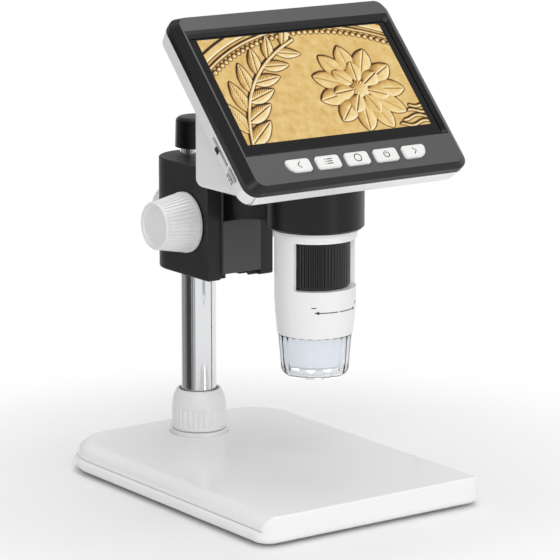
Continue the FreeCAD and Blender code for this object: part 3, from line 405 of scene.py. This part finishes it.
def with_branch(height, x, y):
    """Heights with the branch on top: a stem of straight bits, each with one leaf at its root."""
    t = np.linspace(0, 1, STEM_STEPS + 1)
    stem = np.outer((1 - t) ** 2, STEM[0]) + np.outer(2 * t * (1 - t), STEM[1]) + np.outer(t ** 2, STEM[2])
    for index in range(STEM_STEPS):
        root = stem[index]
        ahead = stem[index + 1] - root
        angle = math.atan2(ahead[1], ahead[0])
        side = 1 if index % 2 else -1
        size = LEAF_LONG - LEAF_SHORTER * t[index]
        height = np.maximum(height, 1.5 * leaf(x, y, root, angle + side * LEAF_SPREAD, size, 0.22 * size))
        along = np.clip(((x - root[0]) * ahead[0] + (y - root[1]) * ahead[1]) / (ahead @ ahead), 0, 1)
        gap = np.hypot(x - root[0] - along * ahead[0], y - root[1] - along * ahead[1])
        height = np.maximum(height, 1.7 * band(gap, 0.45, 0.5))
    return height


# %% [markdown]
# The flower has a low outer ring of petals, a higher inner ring and a domed middle with fine seeds. The
# seeds are the product of two sine waves, one outwards and one round.

# %% The flower
FLOWER = (21.0, -5.0)
FLOWER_REACH = 23
DOME_RADIUS = 4.8
# Each ring: height, number of petals, inner and outer radius, half width of a petal, turn.
PETAL_RINGS = ((1.4, 11, 6.0, 22.5, 4.6, 0.1), (2.1, 7, 3.0, 14.0, 4.6, 0.35))


def with_flower(height, x, y):
    """Heights with the flower on top: two rings of petals and a round dome with seeds."""
    for tall, count, inner, outer, half, turn in PETAL_RINGS:
        height = np.maximum(height, tall * petals(x, y, FLOWER, count, inner, outer, half, turn))
    from_flower = np.hypot(x - FLOWER[0], y - FLOWER[1])
    height = np.maximum(height, 2.8 * np.sqrt(np.clip(1 - (from_flower / DOME_RADIUS) ** 2, 0, 1)))
    seeds = np.sin(2.6 * from_flower) * np.sin(13 * np.arctan2(y - FLOWER[1], x - FLOWER[0]))
    return height + np.where(from_flower < 4.2, 0.22 * seeds, 0)


# %% [markdown]
# The rim is part of a large circle: a broad raised line, a thin one inside it and a row of beads. Four
# wavy lines fill the lower right corner and fade out before they reach the flower.

# %% The rim and the waves
RIM_MIDDLE = (6, -66)
RIM_RADIUS = 99.5
BEAD_CIRCLE = 92.6
BEAD_PITCH = 3.0
BEAD_RADIUS = 1.1
WAVE_COUNT = 4


def with_rim(height, x, y):
    """Heights with the rim on top: two raised lines along a circle and half round beads inside them."""
    from_rim = np.hypot(x - RIM_MIDDLE[0], y - RIM_MIDDLE[1]) - RIM_RADIUS
    height = np.maximum(height, 1.6 * band(from_rim, 1.4, 0.7))
    height = np.maximum(height, 0.8 * band(from_rim + 4.4, 0.3, 0.5))
    round_rim = np.arctan2(y - RIM_MIDDLE[1], x - RIM_MIDDLE[0]) * BEAD_CIRCLE
    across = (round_rim + BEAD_PITCH / 2) % BEAD_PITCH - BEAD_PITCH / 2
    bead = np.sqrt(np.clip(1 - (across ** 2 + (from_rim + 7.2) ** 2) / BEAD_RADIUS ** 2, 0, 1))
    return np.maximum(height, 0.9 * bead)


def with_waves(height, x, y):
    """Heights with a few wavy lines on top, faded in from the left and kept off the flower."""
    from_flower = np.hypot(x - FLOWER[0], y - FLOWER[1])
    for index in range(WAVE_COUNT):
        wave = y + 25.5 - 3.1 * index - 0.9 * np.sin(0.45 * x + 1.1 * index)
        fade = np.clip((x - 30 + 3 * index) / 3, 0, 1) * (from_flower > FLOWER_REACH)
        height = np.maximum(height, 0.8 * fade * band(wave, 0.3, 0.6))
    return height


def relief(x, y):
    """All the heights of the relief in millimetres."""
    height = np.zeros_like(x)
    for add_motif in (with_branch, with_flower, with_rim, with_waves):
        height = add_motif(height, x, y)
    return height


# %% [markdown]
# The picture is worked out on a grid of points. The open fields of struck metal are bright but never
# quite even, so two sheets of noise are drawn: a fine one for tiny flecks, and one blurred many times for
# slow drift. They come from a seeded generator, so that every run draws the same ones. One pass of the
# same blur takes the sharp edges off the relief.

# %% Grid of the picture and its flecks
PICTURE_SEED = 7


def softened(values, passes):
    """Blur by averaging each value with its four neighbours, several times over."""
    for _ in range(passes):
        padded = np.pad(values, 1, mode="edge")
        values = (padded[1:-1, 1:-1] * 4 + padded[:-2, 1:-1] + padded[2:, 1:-1]
                  + padded[1:-1, :-2] + padded[1:-1, 2:]) / 8
    return values


grid_x, grid_y = np.meshgrid(np.linspace(-PICTURE_HALF[0], PICTURE_HALF[0], PICTURE_COLUMNS),
                             np.linspace(-PICTURE_HALF[1], PICTURE_HALF[1], PICTURE_ROWS))
random = np.random.default_rng(PICTURE_SEED)
fleck = softened(random.normal(size=grid_x.shape), 1)
broad = softened(random.normal(size=grid_x.shape), 60)
heights = softened(relief(grid_x, grid_y), 1)
print("relief", heights.shape, "points, up to", round(float(heights.max()), 2), "mm")

# %% [markdown]
# Struck metal shows a warm shade on the side away from the light, and dark lines where a form meets the
# field. Slope times the direction of the light gives the shade. The lines come from comparing the
# heights with their own blur: low places beside high ones get brown. The weights are given in this
# order: slope, shaded side, outline, crease, raised metal, flecks and slow drift. A ramp of six
# golds, from dark brown to pale, then turns the tone into colour.

# %% From heights to gold tones
FIELD_TONE = 0.71
LIGHT_ACROSS, LIGHT_UP = 0.55, 0.75
cell = grid_x[0, 1] - grid_x[0, 0]
slope_y, slope_x = np.gradient(heights + 0.012 * fleck, cell)
facing = (LIGHT_ACROSS * slope_x - LIGHT_UP * slope_y) / np.sqrt(1 + 0.6 * slope_x ** 2 + 0.6 * slope_y ** 2)
raised = np.clip(heights / 0.3, 0, 1)
outline = softened(raised, 5) * (1 - softened(raised, 1))
crease = np.clip(softened(heights, 10) - heights, 0, 1) * raised
shade_side = np.clip(facing, 0, 2)
tone = (FIELD_TONE - 0.40 * facing - 0.35 * shade_side - 2.7 * outline - 1.0 * crease
        + 0.05 * raised + 0.035 * fleck + 0.35 * broad)
TONES = (0.0, 0.2, 0.42, 0.68, 0.86, 1.0)
GOLDS = ("#160A03", "#54320F", "#A27029", "#E0BA70", "#F6DC9C", "#FFF3CF")
gold = np.array([linear(code)[:3] for code in GOLDS])
colours = np.stack([np.interp(np.clip(tone, 0, 1), TONES, gold[:, channel]) for channel in range(3)], -1)
print("picture grid", colours.shape, "tones", round(float(tone.min()), 2), round(float(tone.max()), 2))

# %% [markdown]
# The cover glass is bonded over the panel, so from outside it is one glossy sheet: black print round
# the edge and the lit picture in the middle. The piece is one closed slab whose front holds the fine
# grid. Its colours are an attribute on the mesh, and the shader shows them as light under a gloss.

# %% The lit screen
glass = new_material("Bonded cover glass with lit picture", "#060606", 0.06, IOR=1.5)
glass_tree = glass.node_tree
shown = add_node(glass_tree, "ShaderNodeAttribute", attribute_name="picture")
glass_shader = glass_tree.nodes["Principled BSDF"]
glass_tree.links.new(shown.outputs["Color"], glass_shader.inputs["Emission Color"])
glass_shader.inputs["Emission Strength"].default_value = 0.95

GLASS_HALF_WIDTH = 51.9
GLASS_LOW, GLASS_HIGH = -32.9, 28.7
GLASS_THICKNESS = 1.2

half_width, half_height = PICTURE_HALF
edge_x = np.concatenate([[-GLASS_HALF_WIDTH, -half_width], grid_x[0], [half_width, GLASS_HALF_WIDTH]])
edge_y = np.concatenate([[GLASS_LOW, -half_height], grid_y[:, 0], [half_height, GLASS_HIGH]])
sheet_x, sheet_y = np.meshgrid(edge_x, edge_y)
front = np.stack([sheet_x, sheet_y, np.zeros_like(sheet_x)], -1).reshape(-1, 3)
rows, columns = sheet_x.shape
rim_loop = np.concatenate([np.arange(columns), np.arange(1, rows) * columns + columns - 1,
                           (rows - 1) * columns + np.arange(columns - 2, -1, -1),
                           np.arange(rows - 2, 0, -1) * columns])
back = front[rim_loop] - [0, 0, GLASS_THICKNESS]
total = len(front)
loop_size = len(rim_loop)
sides = [[int(rim_loop[i]), total + i, total + (i + 1) % loop_size, int(rim_loop[(i + 1) % loop_size])]
         for i in range(loop_size)]
back_face = [list(range(total + loop_size - 1, total - 1, -1))]
screen = make_piece("screen_sheet", on_screen(np.concatenate([front, back])),
                    grid_faces(rows, columns) + sides + back_face, "head", glass)
sheet_colours = np.zeros((rows, columns, 4))
sheet_colours[..., 3] = 1
sheet_colours[2:-2, 2:-2, :3] = colours
values = np.zeros((total + loop_size, 4))
values[:, 3] = 1
values[:total] = sheet_colours.reshape(-1, 4)
attribute = screen.data.color_attributes.new("picture", "FLOAT_COLOR", "POINT")
attribute.data.foreach_set("color", values.ravel())
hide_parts("cover_glass")
print("screen faces", len(screen.data.polygons))

# %% [markdown]
# The signs on the keys and the tube are pad printed: ink a few hundredths of a millimetre thick. Each
# is a flat ribbon along a path, with two sides and a top, so it stays a real, closed shape. A path is
# a row of points; the ribbon's edges are the path moved half the line width to each side.

# %% Printed signs
INK_HEIGHT = 0.04
ink = new_material("Pad printed black ink", "#1A1A1A", 0.45)


def ribbon(path, width, closed=False):
    """Points in millimetres and faces of a thin closed ribbon along a flat path."""
    path = np.asarray(path, float)
    if closed:
        ahead = np.roll(path, -1, 0) - np.roll(path, 1, 0)
    else:
        ahead = np.gradient(path, axis=0)
    ahead /= np.linalg.norm(ahead, axis=1, keepdims=True)
    aside = np.stack([-ahead[:, 1], ahead[:, 0]], -1) * width / 2
    left, right = path + aside, path - aside
    low, high = np.zeros((len(path), 1)), np.full((len(path), 1), INK_HEIGHT)
    ring = [np.hstack(pair) for pair in ((right, low), (right, high), (left, high), (left, low))]
    points = np.stack(ring, 1).reshape(-1, 3)
    count = len(path)
    faces = []
    for i in range(count if closed else count - 1):
        a, b = 4 * i, 4 * ((i + 1) % count)
        for k in range(4):
            faces.append([a + k, b + k, b + (k + 1) % 4, a + (k + 1) % 4])
    if not closed:
        faces += [[0, 1, 2, 3], [4 * count - 1, 4 * count - 2, 4 * count - 3, 4 * count - 4]]
    return points, faces


def arc_path(centre, radius, start, end, steps=28):
    """Points along an arc, angles in degrees."""
    angles = np.radians(np.linspace(start, end, steps))
    return np.stack([centre[0] + radius * np.cos(angles), centre[1] + radius * np.sin(angles)], -1)


def polygon_plate(corners):
    """Points and faces of a thin closed plate from the corners of a flat shape."""
    corners = np.asarray(corners, float)
    count = len(corners)
    levels = (np.zeros((count, 1)), np.full((count, 1), INK_HEIGHT))
    points = np.vstack([np.hstack([corners, level]) for level in levels])
    faces = [list(range(count - 1, -1, -1)), list(range(count, 2 * count))]
    faces += [[i, (i + 1) % count, count + (i + 1) % count, count + i] for i in range(count)]
    return points, faces


def joined(shapes):
    """Several separate shapes as one array of points and one list of faces."""
    points, faces, start = [], [], 0
    for shape_points, shape_faces in shapes:
        points.append(shape_points)
        faces += [[corner + start for corner in face] for face in shape_faces]
        start += len(shape_points)
    return np.vstack(points), faces


# %% [markdown]
# The five keys stand in one row with equal spacing. Each sign is drawn round its own middle and then
# moved to its key, just proud of the cap. The middle key has a ring, the usual sign for confirming.

# %% Signs on the keys
KEY_TOP = 2.8
KEY_LINE = -41.0
KEY_PITCH = 15.0
SIGN_RAISED = 0.1
INK_CLEARANCE = 0.005
LINE = 0.42
SIGNS = {
    "back": [ribbon([(0.75, 1.5), (-0.75, 0), (0.75, -1.5)], LINE)],
    "menu": [ribbon([(-0.9, h), (1.9, h)], LINE) for h in (-1.1, 0, 1.1)]
            + [ribbon([(-1.9, h), (-1.45, h)], LINE) for h in (-1.1, 0, 1.1)],
    "confirm": [ribbon(arc_path((0, 0), 1.75, 0, 350, 36), LINE, closed=True)],
    "power": [ribbon(arc_path((0, -0.1), 1.35, 125, 415), LINE), ribbon([(0, 0.2), (0, 1.8)], LINE)],
    "forward": [ribbon([(-0.75, 1.5), (0.75, 0), (-0.75, -1.5)], LINE)],
}
for index, (name, shapes) in enumerate(SIGNS.items()):
    points, faces = joined(shapes)
    points = points + [KEY_PITCH * (index - 2), KEY_LINE + SIGN_RAISED, KEY_TOP + INK_CLEARANCE]
    sign = make_piece("sign_" + name, on_screen(points), faces, "key_" + name, ink)
print("key signs", len(SIGNS))

# %% [markdown]
# On the tube, below the wheel, a double arrow with a minus and a plus shows which way to turn. It is
# printed on a curved surface. So each flat sign is wrapped: its sideways distance becomes an angle
# round the tube, and the tube's own curve gives the radius at each height.

# %% The focus arrow on the tube
TUBE_Y = -37.3
TUBE_CURVE = ((16.2, 76.8), (16.975, 84.4), (17.45, 92.0))
TUBE_CLEARANCE = 0.01


def circle_through(points):
    """Middle and radius of the circle through three points."""
    (ax, ay), (bx, by), (cx, cy) = points
    chords = np.array([[bx - ax, by - ay], [cx - bx, cy - by]])
    bisectors = [(bx ** 2 - ax ** 2 + by ** 2 - ay ** 2) / 2, (cx ** 2 - bx ** 2 + cy ** 2 - by ** 2) / 2]
    middle = np.linalg.solve(chords, np.array(bisectors))
    return middle, math.hypot(ax - middle[0], ay - middle[1])


curve_middle, curve_radius = circle_through(TUBE_CURVE)


def tube_radius(z):
    """Outer radius of the tapered tube at a height, on the arc of its side."""
    low = np.minimum(z, TUBE_CURVE[-1][1])
    return curve_middle[0] + np.sqrt(curve_radius ** 2 - (low - curve_middle[1]) ** 2)


def on_tube(points, level):
    """Metres in the model's frame, from millimetres sideways, up and out on the tube's front."""
    p = np.asarray(points, float)
    z = p[:, 1] + level
    radius = tube_radius(z) + p[:, 2] + TUBE_CLEARANCE
    angle = p[:, 0] / tube_radius(level) - math.pi / 2
    return np.stack([radius * np.cos(angle), TUBE_Y + radius * np.sin(angle), z], -1) * MM


ARROW_LEVEL = 88.4
ARROW_LINE, MARK_LINE = 0.38, 0.4
HEAD_BACK, HEAD_TIP, HEAD_HALF = 9.1, 11.2, 0.75
half_arrow = np.stack([np.linspace(0.5, 9.3, 20), np.zeros(20)], -1)
arrow_shapes = []
for side in (-1, 1):
    stroke_path = half_arrow * [side, 1]
    arrow_shapes.append(ribbon(stroke_path, ARROW_LINE))
    tip = np.array([(HEAD_TIP, 0), (HEAD_BACK, HEAD_HALF), (HEAD_BACK, -HEAD_HALF)]) * [side, 1]
    arrow_shapes.append(polygon_plate(tip if side > 0 else tip[::-1]))
arrow_points, arrow_faces = joined(arrow_shapes)
arrow = make_piece("focus_arrow", on_tube(arrow_points, ARROW_LEVEL), arrow_faces, "head", ink)
minus = ribbon(np.stack([np.linspace(-12.4, -10.4, 6), np.full(6, 2.2)], -1), MARK_LINE)
plus = [ribbon(np.stack([np.linspace(11.5, 13.5, 6), np.full(6, 2.2)], -1), MARK_LINE),
        ribbon([(12.5, 1.2), (12.5, 3.2)], MARK_LINE)]
mark_points, mark_faces = joined([minus] + plus)
marks = make_piece("focus_marks", on_tube(mark_points, ARROW_LEVEL), mark_faces, "head", ink)
print("tube radius at the arrow", round(float(tube_radius(ARROW_LEVEL)), 2), "mm")

# %% [markdown]
# Beside the card slot is a small printed card, and beside the power port the usual sign for direct
# current, a line over three dashes. Both lie on the left wall of the display unit.

# %% Signs on the left wall
UNIT_HALF = 57.0
SEAM_LEVEL = -4.1
WALL_DRAFT = 1.0 / 7.7
PROUD = 0.06
DC_LINE = 0.6
DASH_HALF = 0.65


def on_left_wall(points, v, n):
    """Metres in the model's frame for a flat sign on the drafted left wall: across runs up the screen."""
    p = np.asarray(points, float)
    level = n + p[:, 1]
    wall = UNIT_HALF - (SEAM_LEVEL - level) * WALL_DRAFT
    return on_screen(np.stack([-wall - p[:, 2] - PROUD, v + p[:, 0], level], -1))


card = [polygon_plate([(-1.55, -1.45), (1.55, -1.45), (1.55, 0.6), (0.7, 1.45), (-1.55, 1.45)])]
current = [ribbon([(-2.6, 0.7), (2.6, 0.7)], DC_LINE)]
current += [ribbon([(d - DASH_HALF, -0.7), (d + DASH_HALF, -0.7)], DC_LINE) for d in (-1.95, 0, 1.95)]
WALL_SIGNS = {"card": (card, -22.2, -8.6), "power_port": (current, -36.2, -9.2)}
for name, (shapes, v, n) in WALL_SIGNS.items():
    points, faces = joined(shapes)
    turned = [face[::-1] for face in faces]
    sign = make_piece("sign_" + name, on_left_wall(points, v, n), turned, "head", ink)
print("wall signs", len(WALL_SIGNS))

# %% [markdown]
# The nose is a clear cup under the tube. Its outside is smooth, and its inside has upright ribs that
# spread the light of the lamps. A ready cylinder would have a constant wall, so the wall's section is
# written as a closed profile of radius and height, and carried round the axis: up the outside, over the
# top and down the inside. Only inner points move in and out with the angle, which makes the ribs.

# %% Clear nose
NOSE_RIBS = 24
POINTS_PER_RIB = 8
RIB_DEPTH = 0.22
outside = np.array([(11.6, 58.3), (12.0, 58.3), (12.4, 58.45), (12.95, 58.75), (13.5, 59.2), (14.0, 59.85),
                    (14.4, 60.6), (14.65, 61.4), (14.72, 62.2), (14.9, 64.5), (15.15, 67.5), (15.4, 70.5),
                    (15.65, 73.5), (15.85, 76.0), (15.9, 76.5), (15.9, 76.75)])
inside = np.array([(15.0, 76.75), (14.7, 76.5), (14.55, 76.0), (14.45, 73.0), (14.3, 70.0), (14.15, 67.0),
                   (14.05, 64.5), (13.7, 62.6), (13.2, 61.2), (12.4, 60.1), (11.6, 59.8), (11.1, 59.5),
                   (11.1, 58.6), (11.25, 58.35)])
profile = np.vstack([outside, inside])
FIRST_RIBBED, LAST_RIBBED = len(outside) + 2, len(outside) + 8
rib_depth = np.zeros(len(profile))
rib_depth[FIRST_RIBBED:LAST_RIBBED] = RIB_DEPTH
columns_round = NOSE_RIBS * POINTS_PER_RIB
turns = np.arange(columns_round) * 2 * math.pi / columns_round
wave_in = (0.5 + 0.5 * np.cos(NOSE_RIBS * turns))[None, :]
nose_radius = profile[:, 0:1] - rib_depth[:, None] * wave_in
nose_height = np.repeat(profile[:, 1:2], columns_round, axis=1)
nose_grid = [nose_radius * np.cos(turns), TUBE_Y + nose_radius * np.sin(turns), nose_height]
nose_faces = grid_faces(len(profile), columns_round, wrap=True)
last_row = (len(profile) - 1) * columns_round
nose_faces += [[last_row + i, last_row + (i + 1) % columns_round, (i + 1) % columns_round, i]
               for i in range(columns_round)]
nose = make_piece("nose_clear", np.stack(nose_grid, -1).reshape(-1, 3) * MM, nose_faces, "head",
                  clear_acrylic, smooth=True)
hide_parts("clear_nose")
print("nose faces", len(nose_faces))

# %% [markdown]
# The floor is pale and matt, and takes the object's shadow. Further out it has to be plain white, which
# could be done with more lamps, but those would bleach the object too. So the floor's shader fades from
# matt paint to a white glow with the distance from the object. Only what the camera sees, and what metal
# and glass show, gets the glow; the light that falls on the object doesn't change.

# %% Floor
WHITE_FROM = 0.11
WHITE_TO = 0.24
FLOOR_HALF = 3.0
floor_material = bpy.data.materials.new("Pale matt floor")
floor_material.use_nodes = True
tree = floor_material.node_tree
matt = tree.nodes["Principled BSDF"]
matt.inputs["Base Color"].default_value = linear("#F2F2F2")
matt.inputs["Roughness"].default_value = 0.9
matt.inputs["Specular IOR Level"].default_value = 0.0
rays = add_node(tree, "ShaderNodeLightPath")
seen = add_node(tree, "ShaderNodeMath", operation="MAXIMUM",
                links={0: rays.outputs["Is Camera Ray"], 1: rays.outputs["Is Glossy Ray"]})
seen_clear = add_node(tree, "ShaderNodeMath", operation="MAXIMUM",
                      links={0: seen.outputs["Value"], 1: rays.outputs["Is Transmission Ray"]})
place = add_node(tree, "ShaderNodeTexCoord")
away = add_node(tree, "ShaderNodeVectorMath", links={0: place.outputs["Object"]}, operation="LENGTH")
fade = add_node(tree, "ShaderNodeMapRange", {"From Min": WHITE_FROM, "From Max": WHITE_TO},
                {"Value": away.outputs["Value"]}, interpolation_type="SMOOTHSTEP")
white_far = add_node(tree, "ShaderNodeMath", operation="MULTIPLY",
                     links={0: fade.outputs["Result"], 1: seen_clear.outputs["Value"]})
glow = add_node(tree, "ShaderNodeEmission", {"Color": (1, 1, 1, 1), "Strength": 1.0})
blend = add_node(tree, "ShaderNodeMixShader",
                 links={0: white_far.outputs["Value"], 1: matt.outputs["BSDF"], 2: glow.outputs["Emission"]})
tree.links.new(blend.outputs["Shader"], tree.nodes["Material Output"].inputs["Surface"])
floor = bpy.data.objects.new("floor", bpy.data.meshes.new("floor"))
floor.data.from_pydata([(-FLOOR_HALF, -FLOOR_HALF, 0), (FLOOR_HALF, -FLOOR_HALF, 0),
                        (FLOOR_HALF, FLOOR_HALF, 0), (-FLOOR_HALF, FLOOR_HALF, 0)], [], [(0, 1, 2, 3)])
floor.data.materials.append(floor_material)
bpy.context.collection.objects.link(floor)
print("floor turns white from", WHITE_FROM, "to", WHITE_TO, "m")

# %% [markdown]
# The world is a soft white room: it lights the object from all round at half strength, and it is plain
# white where the camera or a clear piece looks straight at it. Three large lamps add the shapes that
# give a surface its form: the key in front on the left, a slim upright strip low in front, and one above.

# %% World and lamps
ROOM_LIGHT = 0.5
world = bpy.data.worlds.new("studio")
bpy.context.scene.world = world
world.use_nodes = True
world_tree = world.node_tree
background = world_tree.nodes["Background"]
world_rays = add_node(world_tree, "ShaderNodeLightPath")
world_seen = add_node(world_tree, "ShaderNodeMath", operation="MAXIMUM",
                      links={0: world_rays.outputs["Is Camera Ray"],
                             1: world_rays.outputs["Is Transmission Ray"]})
world_level = add_node(world_tree, "ShaderNodeMapRange", {"To Min": ROOM_LIGHT, "To Max": 1.0},
                       {"Value": world_seen.outputs["Value"]})
background.inputs["Color"].default_value = (1, 1, 1, 1)
world_tree.links.new(world_level.outputs["Result"], background.inputs["Strength"])


def soft_lamp(name, place, aim, size, watts, height=None):
    """A rectangular studio lamp that points at a spot."""
    data = bpy.data.lights.new(name, "AREA")
    data.shape = "RECTANGLE"
    data.size = size
    data.size_y = height or size
    data.energy = watts
    lamp_object = bpy.data.objects.new(name, data)
    lamp_object.location = place
    direction = Vector(aim) - Vector(place)
    lamp_object.rotation_euler = direction.to_track_quat("-Z", "Y").to_euler()
    bpy.context.collection.objects.link(lamp_object)


AIM = (0, 0, 0.1)
soft_lamp("key lamp", (-0.5, -0.95, 0.8), AIM, 0.7, 4.5)
soft_lamp("strip lamp", (0.1, -1.1, 0.2), AIM, 0.12, 1.6, 0.7)
soft_lamp("top lamp", (0.1, 0.0, 1.2), AIM, 0.9, 6.0)

# %% [markdown]
# Chrome shows only what stands round it, and in a white room it turns white and loses its shape. Grey
# and dark cards round the pillar, called flags in a studio, give it the upright bands that make a round
# bar look round. Nothing but reflections sees them. They stand close to the pillar, because a reflection
# that runs downwards would otherwise meet the floor before it met the card.

# %% Flags for the pillar's reflections
PILLAR_Y = 0.0517
FLAG_DISTANCE = 0.1
FLAG_HEIGHTS = (0.004, 0.2)


def flag(name, side_angle, width, tone):
    """An upright card that only reflections see, at an angle in degrees round the pillar and of one tone."""
    material = bpy.data.materials.new(name)
    material.use_nodes = True
    card_tree = material.node_tree
    tone_light = add_node(card_tree, "ShaderNodeEmission", {"Color": linear(tone), "Strength": 1.0})
    card_tree.links.new(tone_light.outputs["Emission"], card_tree.nodes["Material Output"].inputs["Surface"])
    middle = math.radians(side_angle)
    half = width / 2 / FLAG_DISTANCE
    corners = [(FLAG_DISTANCE * math.cos(angle), PILLAR_Y + FLAG_DISTANCE * math.sin(angle), z)
               for z in FLAG_HEIGHTS for angle in (middle - half, middle + half)]
    mesh = bpy.data.meshes.new(name)
    mesh.from_pydata([corners[0], corners[1], corners[3], corners[2]], [], [(0, 1, 2, 3)])
    mesh.materials.append(material)
    made = bpy.data.objects.new(name, mesh)
    made.visible_camera = False
    made.visible_shadow = False
    made.visible_diffuse = False
    made.visible_transmission = False
    bpy.context.collection.objects.link(made)


FLAGS = (("dark flag left", 172, 0.062, "#464648"), ("grey flag left", 148, 0.036, "#7C7C7E"),
         ("grey flag front", 197, 0.022, "#8C8C8E"), ("pale flag front", 210, 0.02, "#B8B8BA"),
         ("grey flag behind", 120, 0.06, "#9A9A9C"), ("dark flag right", 326, 0.012, "#2C2C2E"))
for flag_name, side_angle, width, tone in FLAGS:
    flag(flag_name, side_angle, width, tone)
print("flags", len(FLAGS))

# %% [markdown]
# The camera stands where the photograph's stood: its place and direction were solved from the straight
# edges of the object. A long lens far away keeps the upright lines nearly parallel. Its turn is written
# as three axes, right, up and backwards, because a camera looks along its own minus Z.

# %% Camera
IMAGE_SIZE = 560
FOCAL_PIXELS = 3132.8
SENSOR_MM = 36.0
CLIP_END = 20
CAMERA_PLACE = Vector((-0.7727, -1.0924, 0.37895))
LOOK = Vector((0.5687, 0.7955, -0.2092)).normalized()
camera_data = bpy.data.cameras.new("camera")
camera_data.sensor_width = SENSOR_MM
camera_data.sensor_fit = "HORIZONTAL"
camera_data.lens = FOCAL_PIXELS * SENSOR_MM / IMAGE_SIZE
camera_data.clip_end = CLIP_END
camera = bpy.data.objects.new("camera", camera_data)
right = LOOK.cross(Vector((0, 0, 1))).normalized()
upward = right.cross(LOOK)
turn = Matrix((right, upward, -LOOK)).transposed().to_4x4()
camera.matrix_world = Matrix.Translation(CAMERA_PLACE) @ turn
bpy.context.collection.objects.link(camera)
bpy.context.scene.camera = camera
bpy.context.scene.view_settings.view_transform = "Standard"
print("lens", round(camera_data.lens, 1), "mm")
